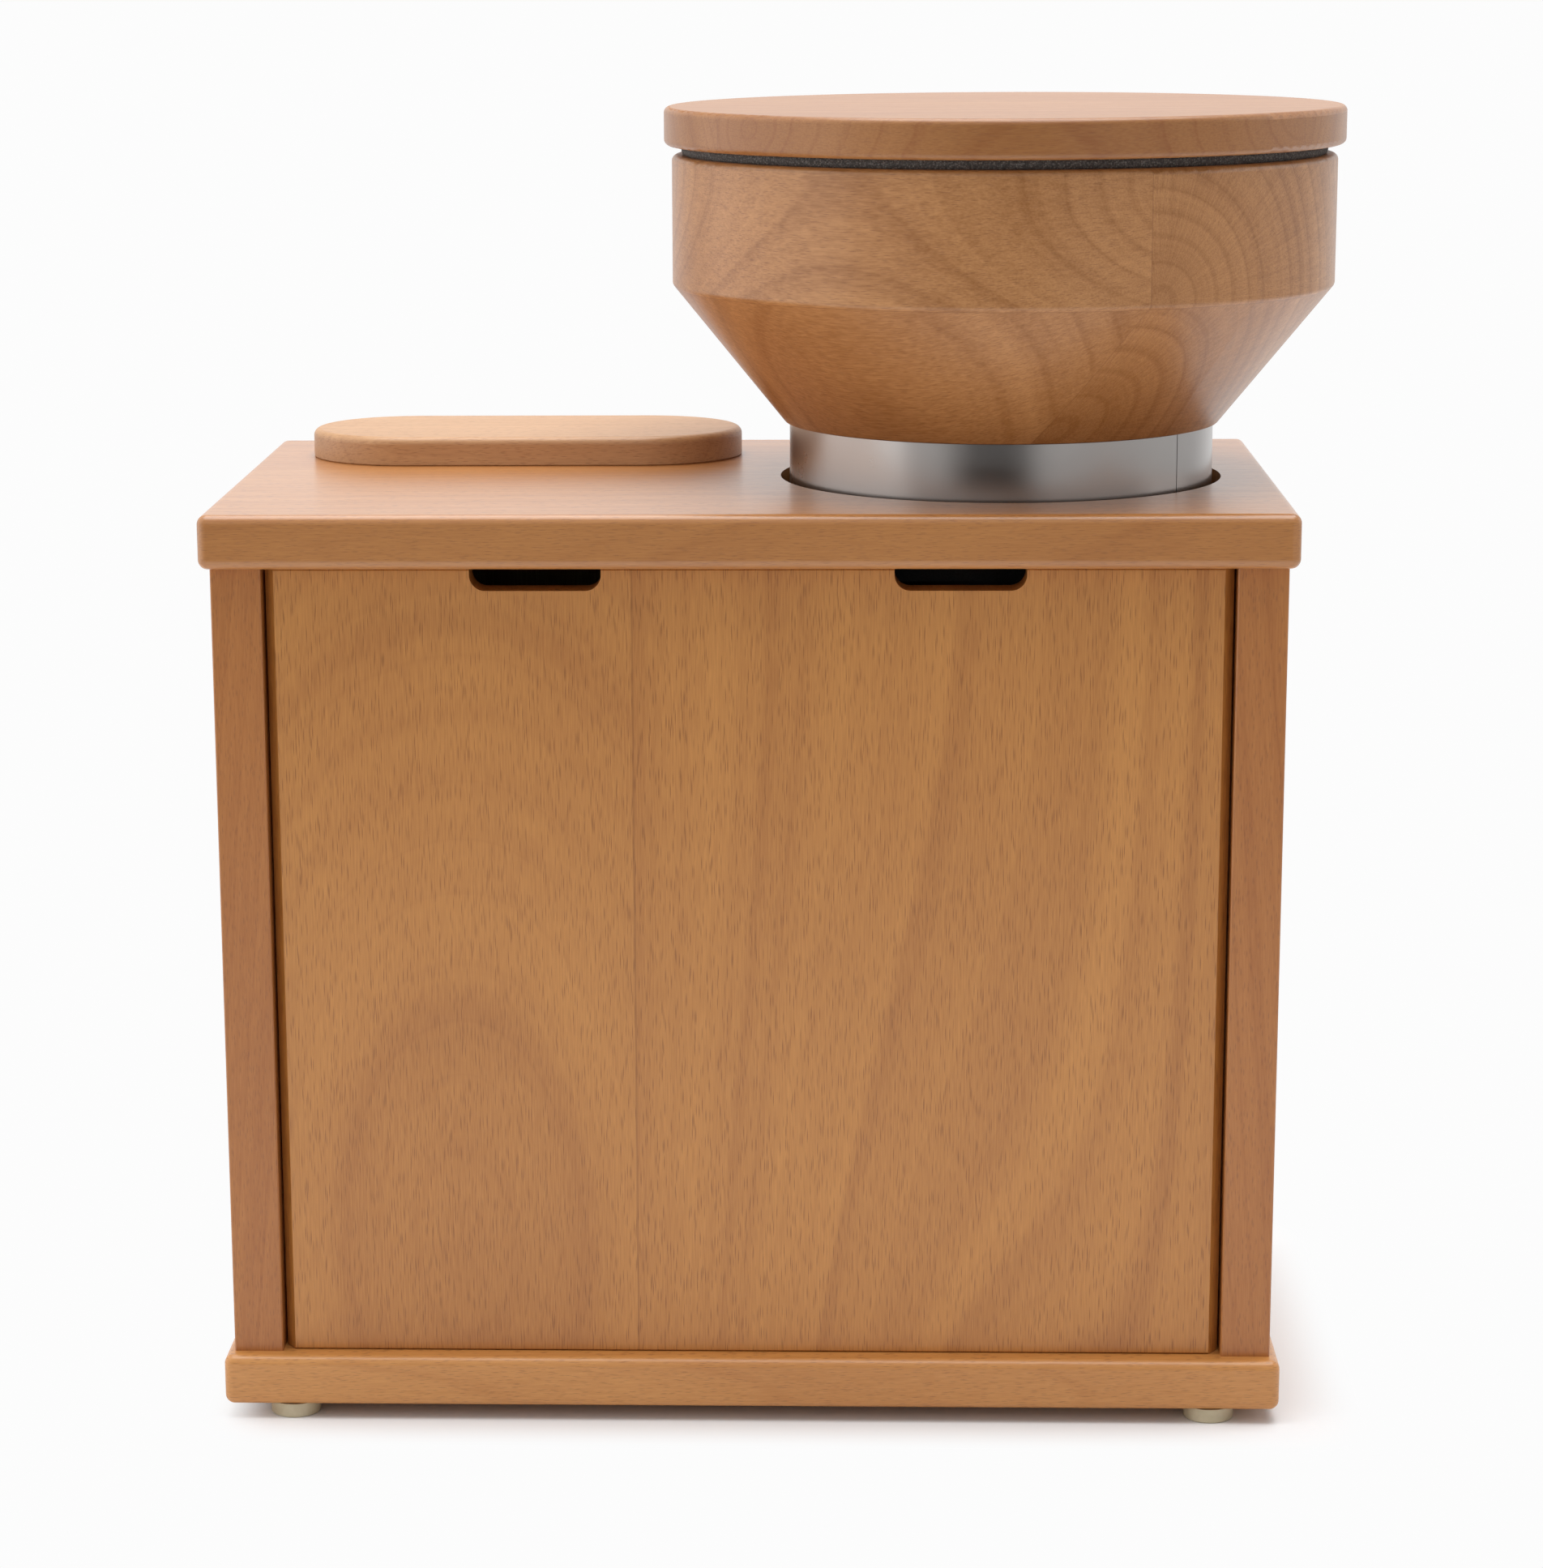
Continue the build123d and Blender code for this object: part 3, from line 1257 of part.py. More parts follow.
with BuildPart() as reset_bush:
    with BuildSketch(facing_back(fitting_back, back_outer_y, reset_z)):
        Circle(reset_head_r)
    extrude(amount=reset_head_t)
    with BuildSketch(facing_back(fitting_back, back_outer_y, reset_z)):
        Circle(reset_bush_r)
    extrude(amount=-reset_bush_l)
    with BuildSketch(facing_back(fitting_back, back_outer_y + reset_head_t, reset_z)):
        Circle(reset_r + running)
    extrude(amount=-(reset_l - reset_show + reset_travel + reset_end_gap), mode=Mode.SUBTRACT)
reset_bush.part.label = "reset_bush"
export_step(reset_bush.part, "parts/reset_bush.step")

with BuildPart() as reset_button:
    with BuildSketch(facing_back(fitting_back, back_outer_y + reset_head_t + reset_show, reset_z)):
        Circle(reset_r)
    extrude(amount=-reset_l)
    fillet(reset_button.faces().sort_by(Axis.Y)[-1].edges(), 2 * arris)
reset_button.part.label = "reset_button"
export_step(reset_button.part, "parts/reset_button.step")

with BuildPart() as cord_gland:
    with BuildSketch(facing_back(fitting_back, back_outer_y, gland_z)):
        Circle(gland_head_r)
    extrude(amount=gland_head_t)
    fillet(cord_gland.faces().sort_by(Axis.Y)[-1].edges(), gland_round)
    with BuildSketch(facing_back(fitting_back, back_outer_y, gland_z)):
        Circle(gland_r)
    extrude(amount=-(gland_l - gland_head_t))
    with BuildSketch(facing_back(fitting_back, back_outer_y + gland_head_t, gland_z)):
        Circle(gland_bore_r)
    extrude(amount=-gland_l, mode=Mode.SUBTRACT)
cord_gland.part.label = "cord_gland"
export_step(cord_gland.part, "parts/cord_gland.step")

with BuildPart() as gland_nut:
    with BuildSketch(facing_back(fitting_back, back_inner_y, gland_z)):
        RegularPolygon(gland_nut_r, 6)
        Circle(gland_r + slip, mode=Mode.SUBTRACT)
    extrude(amount=-gland_nut_t)
gland_nut.part.label = "gland_nut"
export_step(gland_nut.part, "parts/gland_nut.step")
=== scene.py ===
"""Looks of an electric stone grain mill in a beech case: finishes, fine pieces, studio and camera."""
import logging
import math
from dataclasses import dataclass, field
from enum import Enum
from typing import Any, Optional

import bpy
import numpy as np
from mathutils import Euler, Matrix, Vector


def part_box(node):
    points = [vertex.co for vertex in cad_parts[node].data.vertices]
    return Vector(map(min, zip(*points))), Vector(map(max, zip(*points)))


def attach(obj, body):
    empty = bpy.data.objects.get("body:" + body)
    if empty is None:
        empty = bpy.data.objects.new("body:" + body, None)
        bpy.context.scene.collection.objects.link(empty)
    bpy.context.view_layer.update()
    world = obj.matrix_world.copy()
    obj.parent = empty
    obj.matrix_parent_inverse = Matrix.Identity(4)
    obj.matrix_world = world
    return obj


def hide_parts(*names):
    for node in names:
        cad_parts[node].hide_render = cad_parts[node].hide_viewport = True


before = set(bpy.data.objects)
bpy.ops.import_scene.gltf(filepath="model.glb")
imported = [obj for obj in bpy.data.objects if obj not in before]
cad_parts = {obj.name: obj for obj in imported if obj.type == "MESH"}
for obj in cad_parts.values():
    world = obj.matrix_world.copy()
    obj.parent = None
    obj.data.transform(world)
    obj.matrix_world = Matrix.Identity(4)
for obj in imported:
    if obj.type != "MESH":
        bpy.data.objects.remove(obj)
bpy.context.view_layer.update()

logging.basicConfig(level=logging.INFO, format="%(levelname)s %(message)s")
log = logging.getLogger("grain_mill")

Point = tuple[float, float, float]
MM = 0.001


class Grain(Enum):
    """Which way the fibres of a board run, as a direction in the model's frame."""

    DEPTH = (0.0, 1.0, 0.0)
    UPRIGHT = (0.0, 0.0, 1.0)


class Rays(Enum):
    """Size of the space round one ray fleck, mm: across, towards the pith, and along the grain."""

    LONG = (0.5, 4.5, 8.6)
    SHORT = (0.44, 3.0, 4.2)


class Marks(Enum):
    """Direction of the fine working marks on a metal, as the run of one mark along x, y and z, mm."""

    ROLLED_ROUND = (60.0, 60.0, 0.22)
    ALONG_Z = (0.3, 0.3, 30.0)
    CAST = (0.55, 0.55, 0.55)
    STACKED = (80.0, 80.0, 0.5)
    WOUND = (0.5, 0.5, 9.0)


def linear(colour: str) -> tuple[float, float, float, float]:
    """Turn an sRGB hex colour into Blender's linear RGBA.

    Args:
        colour: Six hex digits with a leading hash.

    Returns:
        The linear red, green and blue, and an alpha of one.
    """
    parts = [int(colour[i:i + 2], 16) / 255 for i in (1, 3, 5)]
    return tuple([c / 12.92 if c <= 0.04045 else ((c + 0.055) / 1.055) ** 2.4 for c in parts] + [1.0])


def add(tree: bpy.types.NodeTree, kind: str, inputs: Optional[dict] = None, out: Any = 0,
        **settings: Any) -> Any:
    """Add one node with its settings and links.

    Args:
        tree: Node tree that gets the node.
        kind: Node type without the ShaderNode prefix.
        inputs: Socket name or number to a value, or to the output socket that feeds it.
        out: Name or number of the output wanted back.
        **settings: Attributes of the node.

    Returns:
        The wanted output socket, or None for a node without outputs.
    """
    node = tree.nodes.new("ShaderNode" + kind)
    for name, value in settings.items():
        setattr(node, name, value)
    for key, value in (inputs or {}).items():
        if isinstance(value, bpy.types.NodeSocket):
            tree.links.new(value, node.inputs[key])
        else:
            node.inputs[key].default_value = value
    return node.outputs[out] if node.outputs else None


def blend(tree: bpy.types.NodeTree, share: Any, first: Any, second: Any) -> Any:
    """Mix two colours.

    Args:
        tree: Node tree that gets the node.
        share: Share of the second colour, 0 to 1.
        first: Colour at 0.
        second: Colour at 1.

    Returns:
        The mixed colour's socket.
    """
    return add(tree, "Mix", {0: share, 6: first, 7: second}, out=2, data_type="RGBA")


def noise(tree: bpy.types.NodeTree, place: Any, run: Point, detail: float, out: Any = 0,
          **more: float) -> Any:
    """Add noise on stretched coordinates.

    Args:
        tree: Node tree that gets the nodes.
        place: Coordinates in mm.
        run: Factor for x, y and z; the smaller it is, the longer the pattern runs that way.
        detail: How many finer layers of noise are added.
        out: Name or number of the output wanted back.
        **more: Further sockets of the noise.

    Returns:
        The noise's socket.
    """
    place = add(tree, "VectorMath", {0: place, 1: run}, operation="MULTIPLY")
    return add(tree, "TexNoise", {"Vector": place, "Scale": 1.0, "Detail": detail, **more}, out=out)


def new_material(name: str) -> tuple[bpy.types.Material, bpy.types.NodeTree, Any]:
    """Start an empty material.

    Args:
        name: Name of the material.

    Returns:
        The material, its tree, and the object's coordinates in mm.
    """
    material = bpy.data.materials.new(name)
    material.use_nodes = True
    tree = material.node_tree
    tree.nodes.clear()
    place = add(tree, "TexCoord", out="Object")
    return material, tree, add(tree, "VectorMath", {0: place, 1: (1000.0,) * 3}, operation="MULTIPLY")


def surface(tree: bpy.types.NodeTree, **sockets: Any) -> None:
    """Close a material with a Principled shader.

    Args:
        tree: The material's tree.
        **sockets: Values or links of the shader, with underscores for the spaces in socket names.
    """
    inputs = {name.replace("_", " "): value for name, value in sockets.items()}
    add(tree, "OutputMaterial", {"Surface": add(tree, "BsdfPrincipled", inputs)})


@dataclass(frozen=True)
class Stave:
    """One board of a glued-up blank.

    Attributes:
        pith: A point of the tree's centre line, mm; the year rings lie round that line.
        grain: Direction of the fibres; leaning it off the board's face makes arched figure.
        face: Direction that the sawn face looks.
        beyond: Glue planes as (direction, distance); the stave lies past all of them.
        tone: How much darker than its neighbours the stave is, -1 to 1.
        depth: How far in front of the pith the seen face lies, mm.
        end_grain: Whether the seen face is mostly end grain, where rays spread from the pith itself.
        heart: Where the rays meet when it isn't straight behind the face, mm.
        lean: How far the rings' centre sinks behind the face per mm along the grain.
        sway: How far the rings bow sideways at the foot of the board, mm.
    """

    pith: Point
    grain: Point = Grain.UPRIGHT.value
    face: Point = (0.0, -1.0, 0.0)
    beyond: tuple = ()
    tone: float = 0.0
    depth: float = 40.0
    end_grain: bool = False
    heart: Optional[Point] = None
    lean: float = 0.0
    sway: float = 0.0

    def figure(self) -> Point:
        """Give the tone, the lean and the sway."""
        return (self.tone, self.lean, self.sway)

    def rays(self) -> Point:
        """Give where the rays meet, seen from the pith, and their reach to the seen face, mm."""
        if self.end_grain:
            return (0.0, 0.0, 55.0)
        if self.heart is None:
            return (0.0, 150.0 - self.depth, 150.0)
        way = self.turn().to_matrix().transposed() @ (Vector(self.pith) - Vector(self.heart))
        return (way.x, way.y, 150.0)

    def turn(self) -> Euler:
        """Give the rotation whose z runs with the grain and whose y is the face's direction."""
        z = Vector(self.grain).normalized()
        y = Vector(self.face)
        y = (y - y.dot(z) * z).normalized()
        return Matrix((y.cross(z), y, z)).transposed().to_euler()


@dataclass(frozen=True)
class Beech:
    """Steamed beech, planed or turned, sanded and oiled.

    Low contrast rings, short brown ray flecks that run with the grain and a soft sheen: IOR 1.5, roughness
    about 0.4. The pattern is a solid one, so that edges and end grain agree with the faces.

    Attributes:
        name: Name of the material.
        staves: The boards, the first of them filling what the others leave.
        light: Early wood.
        dark: Late wood.
        fleck: Colour of the ray flecks.
        rays: How the flecks are cut.
        ring: Width of a year ring, mm.
        band: Width of the broad bands of tone, mm.
        band_depth: Strength of the broad bands.
        ring_depth: Strength of the late-wood lines.
        fleck_depth: Strength of the flecks.
        waver: How far the rings wander, mm.
        line: Where in a ring the late wood starts, 0 to 1.
        rough: Roughness of the oiled surface.
        glue: Half the width of a glue line, mm.
        chart: Radius of a broad band, mm, and its darkness, 0 to 1; in between it changes smoothly.
        bow: Radius where bowed rings lie, half the width of the bow, and the board's height, mm.
        cloud: Strength of the large patches of tone that steaming leaves.
        hatch: Strength of the fine pale rays that run out from the pith across the rings.
        coat: Weight of the oil film, which shows as a pale sheen at a glancing angle.
    """

    name: str
    staves: tuple
    light: str = "#D2A377"
    dark: str = "#A87447"
    fleck: str = "#7C4A28"
    rays: Rays = Rays.LONG
    ring: float = 2.4
    band: float = 14.0
    band_depth: float = 0.55
    ring_depth: float = 0.22
    fleck_depth: float = 0.42
    waver: float = 6.0
    line: float = 0.72
    rough: float = 0.42
    glue: float = 0.14
    chart: tuple = ()
    bow: Point = (0.0, 1.0, 1.0)
    cloud: float = 0.2
    hatch: float = 0.0
    coat: float = 0.35

    def build(self) -> bpy.types.Material:
        """Make the material.

        Ring radius is the distance from the pith after a slow waver, plus the sway times a bell over the
        radius times a power of the way down the board; bands are one-dimensional noise of that radius, late
        wood is a ramp over each ring, flecks are the cores of stretched Voronoi cells.

        Returns:
            The finished material.
        """
        material, t, place = new_material(self.name)
        wood, figure, rays, joint = None, None, None, None
        for stave in self.staves:
            here = add(t, "Mapping", {"Vector": place, "Location": stave.pith, "Rotation": stave.turn()},
                       vector_type="TEXTURE")
            if wood is None:
                wood = here
                figure = add(t, "CombineXYZ", dict(enumerate(stave.figure())))
                rays = add(t, "CombineXYZ", dict(enumerate(stave.rays())))
                continue
            mask = None
            for direction, distance in stave.beyond:
                side = add(t, "VectorMath", {0: place, 1: direction}, out=1, operation="DOT_PRODUCT")
                past = add(t, "Math", {0: side, 1: distance}, operation="GREATER_THAN")
                mask = past if mask is None else add(t, "Math", {0: mask, 1: past}, operation="MULTIPLY")
            direction, distance = stave.beyond[0]
            side = add(t, "VectorMath", {0: place, 1: direction}, out=1, operation="DOT_PRODUCT")
            off = add(t, "Math", {0: side, 1: distance, 2: self.glue}, operation="COMPARE")
            joint = off if joint is None else add(t, "Math", {0: joint, 1: off}, operation="MAXIMUM")
            wood = add(t, "Mix", {0: mask, 4: wood, 5: here}, out=1, data_type="VECTOR")
            figure = add(t, "Mix", {0: mask, 4: figure, 5: stave.figure()}, out=1, data_type="VECTOR")
            rays = add(t, "Mix", {0: mask, 4: rays, 5: stave.rays()}, out=1, data_type="VECTOR")
        slow = noise(t, wood, (0.011, 0.011, 0.0032), 2.0, "Color", Roughness=0.45)
        slow = add(t, "VectorMath", {0: slow, 1: (0.5, 0.5, 0.5)}, operation="SUBTRACT")
        bent = add(t, "VectorMath", {0: slow, 1: (2 * self.waver,) * 3, 2: wood}, operation="MULTIPLY_ADD")
        tone, lean, sway = add(t, "SeparateXYZ", {0: figure}).node.outputs
        flat = add(t, "SeparateXYZ", {0: wood}).node.outputs
        sunk = add(t, "CombineXYZ", {1: add(t, "Math", {0: flat[2], 1: lean}, operation="MULTIPLY")})
        radius = add(t, "VectorMath", {0: bent, 1: (1.0, 1.0, 0.0), 2: sunk}, operation="MULTIPLY_ADD")
        radius = add(t, "VectorMath", {0: radius}, out=1, operation="LENGTH")
        if any(stave.sway for stave in self.staves):
            place, width, height = self.bow
            bell = add(t, "Math", {0: add(t, "Math", {0: radius, 1: place}, operation="SUBTRACT"), 1: width},
                       operation="DIVIDE")
            bell = add(t, "Math", {0: bell, 1: bell}, operation="MULTIPLY")
            bell = add(t, "Math", {0: add(t, "Math", {0: bell, 1: -1.0}, operation="MULTIPLY")},
                       operation="EXPONENT")
            down = add(t, "Math", {0: flat[2], 1: -1 / height}, operation="MULTIPLY", use_clamp=True)
            down = add(t, "Math", {0: down, 1: 1.7}, operation="POWER")
            bell = add(t, "Math", {0: bell, 1: down}, operation="MULTIPLY")
            radius = add(t, "Math", {0: bell, 1: sway, 2: radius}, operation="MULTIPLY_ADD")
        bands = add(t, "TexNoise", {"W": add(t, "Math", {0: radius, 1: 1 / self.band}, operation="MULTIPLY"),
                                    "Scale": 1.0, "Detail": 3.0, "Roughness": 0.6}, noise_dimensions="1D")
        years = add(t, "Math", {0: radius, 1: 1 / self.ring, 2: add(t, "Math", {0: bands, 1: 3.0},
                                                                     operation="MULTIPLY")},
                    operation="MULTIPLY_ADD")
        late = add(t, "Math", {0: years, 1: 1.0}, operation="PINGPONG")
        late = add(t, "MapRange", {"Value": late, "From Min": self.line, "From Max": 1.0},
                   interpolation_type="SMOOTHSTEP")
        fibre = noise(t, wood, (2.2, 2.2, 0.09), 2.0)
        side, back, reach = add(t, "SeparateXYZ", {0: rays}).node.outputs
        side = add(t, "Math", {0: flat[0], 1: side}, operation="ADD")
        back = add(t, "Math", {0: flat[1], 1: back}, operation="ADD")
        angle = add(t, "Math", {0: side, 1: back}, operation="ARCTAN2")
        across = add(t, "Math", {0: angle, 1: reach}, operation="MULTIPLY")
        inward = add(t, "CombineXYZ", {0: side, 1: back})
        inward = add(t, "VectorMath", {0: inward}, out=1, operation="LENGTH")
        cell = add(t, "CombineXYZ", {0: across, 1: inward, 2: flat[2]})
        cell = add(t, "VectorMath", {0: cell, 1: tuple(1 / s for s in self.rays.value)}, operation="MULTIPLY")
        speck = add(t, "TexVoronoi", {"Vector": cell, "Scale": 1.0}, out="Distance")
        speck = add(t, "MapRange", {"Value": speck, "From Min": 0.36, "From Max": 0.12})
        shade = add(t, "Math", {0: bands, 1: 2 * self.band_depth, 2: 0.5 - self.band_depth},
                    operation="MULTIPLY_ADD")
        shade = add(t, "Math", {0: late, 1: self.ring_depth, 2: shade}, operation="MULTIPLY_ADD")
        if self.hatch:
            ray = add(t, "CombineXYZ", {0: across, 1: inward, 2: flat[2]})
            ray = noise(t, ray, (0.8, 0.06, 0.25), 2.0)
            ray = add(t, "MapRange", {"Value": ray, "From Min": 0.35, "From Max": 0.65, "To Min": -0.5,
                                      "To Max": 0.5})
            shade = add(t, "Math", {0: ray, 1: self.hatch, 2: shade}, operation="MULTIPLY_ADD")
        if self.chart:
            reach = self.chart[-1][0]
            curve = add(t, "FloatCurve", {"Value": add(t, "Math", {0: radius, 1: 1 / reach},
                                                       operation="MULTIPLY")})
            points = curve.node.mapping.curves[0].points
            points[0].location, points[1].location = (0.0, self.chart[0][1]), (1.0, self.chart[-1][1])
            for band, darkness in self.chart[1:-1]:
                points.new(band / reach, darkness)
            curve.node.mapping.update()
            shade = add(t, "Math", {0: shade, 1: add(t, "Math", {0: curve, 1: 0.5}, operation="SUBTRACT")},
                        operation="ADD")
        cloud = noise(t, wood, (0.026, 0.026, 0.007), 1.0)
        shade = add(t, "Math", {0: cloud, 1: 2 * self.cloud, 2: shade}, operation="MULTIPLY_ADD")
        shade = add(t, "Math", {0: fibre, 1: 0.8, 2: shade}, operation="MULTIPLY_ADD")
        shade = add(t, "Math", {0: shade, 1: 0.4 + self.cloud}, operation="SUBTRACT")
        shade = add(t, "Math", {0: shade, 1: tone}, operation="ADD", use_clamp=True)
        colour = blend(t, shade, linear(self.light), linear(self.dark))
        fleck = add(t, "Math", {0: speck, 1: self.fleck_depth}, operation="MULTIPLY")
        colour = blend(t, fleck, colour, linear(self.fleck))
        if joint is not None:
            joint = add(t, "Math", {0: joint, 1: 0.35}, operation="MULTIPLY")
            colour = blend(t, joint, colour, linear(self.fleck))
        height = add(t, "Math", {0: speck, 1: -0.6, 2: fibre}, operation="MULTIPLY_ADD")
        rough = add(t, "Math", {0: fibre, 1: 0.12, 2: self.rough - 0.06}, operation="MULTIPLY_ADD")
        normal = add(t, "Bump", {"Strength": 0.35, "Distance": 0.00006, "Height": height})
        surface(t, Base_Color=colour, Roughness=rough, IOR=1.5, Normal=normal, Coat_Weight=self.coat,
                Coat_Roughness=0.25)
        return material


@dataclass(frozen=True)
class Plywood:
    """Birch plywood: pale rotary-cut faces, and light and dark plies on the edges; IOR 1.5, roughness 0.55.

    Attributes:
        name: Name of the material.
        through: Direction of the thickness.
        start: Where the first ply begins along it, mm.
        ply: Thickness of one ply, mm.
        grain: Direction of the outer veneer.
    """

    name: str
    through: Point
    start: float
    ply: float = 1.45
    grain: Grain = Grain.UPRIGHT

    def build(self) -> bpy.types.Material:
        """Make the material: plies are a square wave through the thickness, the veneer is stretched noise.

        Returns:
            The finished material.
        """
        material, t, place = new_material(self.name)
        depth = add(t, "VectorMath", {0: place, 1: self.through}, out=1, operation="DOT_PRODUCT")
        depth = add(t, "Math", {0: add(t, "Math", {0: depth, 1: self.start}, operation="SUBTRACT"),
                                1: 0.5 / self.ply}, operation="MULTIPLY")
        ply = add(t, "Math", {0: depth}, operation="FRACT")
        ply = add(t, "Math", {0: ply, 1: 0.5}, operation="GREATER_THAN")
        run = tuple(0.012 if g else 0.11 for g in self.grain.value)
        figure = noise(t, place, run, 5.0, Roughness=0.6, Distortion=0.5)
        run = tuple(0.08 if g else 1.9 for g in self.grain.value)
        fibre = noise(t, place, run, 2.0)
        shade = add(t, "Math", {0: figure, 1: fibre}, operation="ADD")
        shade = add(t, "MapRange", {"Value": shade, "From Min": 0.7, "From Max": 1.3})
        colour = blend(t, shade, linear("#E6CBA6"), linear("#CFAD83"))
        dark = blend(t, shade, linear("#B48E62"), linear("#9C774E"))
        edge = add(t, "VectorMath", {0: add(t, "TexCoord", out="Normal"), 1: self.through}, out=1,
                   operation="DOT_PRODUCT")
        edge = add(t, "Math", {0: edge}, operation="ABSOLUTE")
        edge = add(t, "Math", {0: edge, 1: 0.5}, operation="LESS_THAN")
        colour = blend(t, add(t, "Math", {0: ply, 1: edge}, operation="MULTIPLY"), colour, dark)
        normal = add(t, "Bump", {"Strength": 0.3, "Distance": 0.00008, "Height": fibre})
        surface(t, Base_Color=colour, Roughness=0.56, IOR=1.5, Normal=normal)
        return material


@dataclass(frozen=True)
class Metal:
    """A bare or plated metal with the marks of its working.

    Attributes:
        name: Name of the material.
        colour: Colour of its reflection.
        shadow: Colour in the marks and stains.
        rough: Mean roughness.
        marks: Direction of the working marks.
        depth: Height of the marks, mm.
        stain: Strength of slow changes of tone.
        metallic: 1 for bare metal, less where varnish covers it.
        mottle: How much the roughness changes with the tone.
    """

    name: str
    colour: str
    shadow: str
    rough: float
    marks: Marks = Marks.CAST
    depth: float = 0.02
    stain: float = 0.4
    metallic: float = 1.0
    mottle: float = 0.14

    def build(self) -> bpy.types.Material:
        """Make the material: marks are noise stretched along the marks' run, stains are slow noise.

        Returns:
            The finished material.
        """
        material, t, place = new_material(self.name)
        run = tuple(1 / s for s in self.marks.value)
        marks = noise(t, place, run, 3.0, Roughness=0.6)
        slow = add(t, "TexNoise", {"Vector": place, "Scale": 0.045, "Detail": 3.0})
        shade = add(t, "Mix", {0: self.stain, 2: marks, 3: slow}, data_type="FLOAT")
        shade = add(t, "MapRange", {"Value": shade, "From Min": 0.3, "From Max": 0.75})
        colour = blend(t, shade, linear(self.colour), linear(self.shadow))
        rough = add(t, "Math", {0: shade, 1: self.mottle, 2: self.rough - 0.4 * self.mottle},
                    operation="MULTIPLY_ADD")
        normal = add(t, "Bump", {"Strength": 0.5, "Distance": self.depth * MM, "Height": marks})
        surface(t, Base_Color=colour, Metallic=self.metallic, Roughness=rough, Normal=normal)
        return material


@dataclass(frozen=True)
class Moulded:
    """A moulded plastic or rubber, or a baked enamel: even colour with a faint mottle and a fine skin.

    Attributes:
        name: Name of the material.
        colour: Its colour.
        second: Colour of the mottle.
        rough: Mean roughness.
        ior: Its index of refraction.
        skin: Size of the skin's texture, mm.
        depth: Height of the skin's texture, mm.
    """

    name: str
    colour: str
    second: str
    rough: float
    ior: float = 1.5
    skin: float = 0.5
    depth: float = 0.015

    def build(self) -> bpy.types.Material:
        """Make the material: slow noise mottles the colour, fine noise is the moulded skin.

        Returns:
            The finished material.
        """
        material, t, place = new_material(self.name)
        slow = add(t, "TexNoise", {"Vector": place, "Scale": 0.12, "Detail": 4.0, "Roughness": 0.6})
        fine = add(t, "TexNoise", {"Vector": place, "Scale": 1 / self.skin, "Detail": 2.0})
        shade = add(t, "MapRange", {"Value": slow, "From Min": 0.35, "From Max": 0.7})
        colour = blend(t, shade, linear(self.colour), linear(self.second))
        rough = add(t, "Math", {0: fine, 1: 0.16, 2: self.rough - 0.08}, operation="MULTIPLY_ADD")
        normal = add(t, "Bump", {"Strength": 0.5, "Distance": self.depth * MM, "Height": fine})
        surface(t, Base_Color=colour, Roughness=rough, IOR=self.ior, Normal=normal)
        return material


@dataclass(frozen=True)
class Grit:
    """Grains in a matrix: closed-cell foam or the corundum and ceramic bond of a mill stone.

    Attributes:
        name: Name of the material.
        matrix: Colour between the grains.
        grain: Colour of the grains or cells.
        size: Size of a grain, mm.
        rough: Roughness.
        depth: Relief of the grains, mm.
        ior: Index of refraction.
    """

    name: str
    matrix: str
    grain: str
    size: float
    rough: float
    depth: float
    ior: float = 1.5

    def build(self) -> bpy.types.Material:
        """Make the material: Voronoi cells give each grain its own tone and its own hollow.

        Returns:
            The finished material.
        """
        material, t, place = new_material(self.name)
        cells = {"Vector": place, "Scale": 1 / self.size}
        tint = add(t, "TexVoronoi", cells, out="Color")
        hollow = add(t, "TexVoronoi", cells, out="Distance")
        tint = add(t, "SeparateColor", {0: tint})
        core = add(t, "MapRange", {"Value": hollow, "From Min": 0.75, "From Max": 0.15})
        mix = add(t, "Math", {0: tint, 1: core}, operation="MULTIPLY")
        colour = blend(t, mix, linear(self.matrix), linear(self.grain))
        normal = add(t, "Bump", {"Strength": 0.8, "Distance": self.depth * MM, "Height": hollow})
        surface(t, Base_Color=colour, Roughness=self.rough, IOR=self.ior, Normal=normal)
        return material


def mesh_piece(name: str, points: np.ndarray, faces: np.ndarray, body: str,
               material: bpy.types.Material, caps: Any = ()) -> bpy.types.Object:
    """Put computed points and faces into a new piece and let it ride a body.

    Args:
        name: Name of the piece.
        points: Array of n points in mm.
        faces: Array of m faces of four corners.
        body: Body that it rides.
        material: Its finish.
        caps: Further faces of any number of corners.

    Returns:
        The piece.
    """
    mesh = bpy.data.meshes.new(name)
    mesh.from_pydata((points * MM).tolist(), [], faces.tolist() + list(caps))
    mesh.polygons.foreach_set("use_smooth", np.full(len(mesh.polygons), True))
    mesh.materials.append(material)
    mesh.validate()
    piece = bpy.data.objects.new(name, mesh)
    bpy.context.scene.collection.objects.link(piece)
    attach(piece, body)
    return piece


def grid_faces(rows: int, columns: int, close_rows: bool, close_columns: bool) -> np.ndarray:
    """Number the four corners of each face of a grid of points.

    Args:
        rows: Points along the first parameter.
        columns: Points along the second parameter.
        close_rows: Whether the last row joins the first.
        close_columns: Whether the last column joins the first.

    Returns:
        Array of faces, each with four point numbers.
    """
    i, j = np.meshgrid(np.arange(rows - (not close_rows)), np.arange(columns - (not close_columns)),
                       indexing="ij")
    i, j = i.ravel(), j.ravel()
    i2, j2 = (i + 1) % rows, (j + 1) % columns
    return np.stack([i * columns + j, i2 * columns + j, i2 * columns + j2, i * columns + j2], 1)


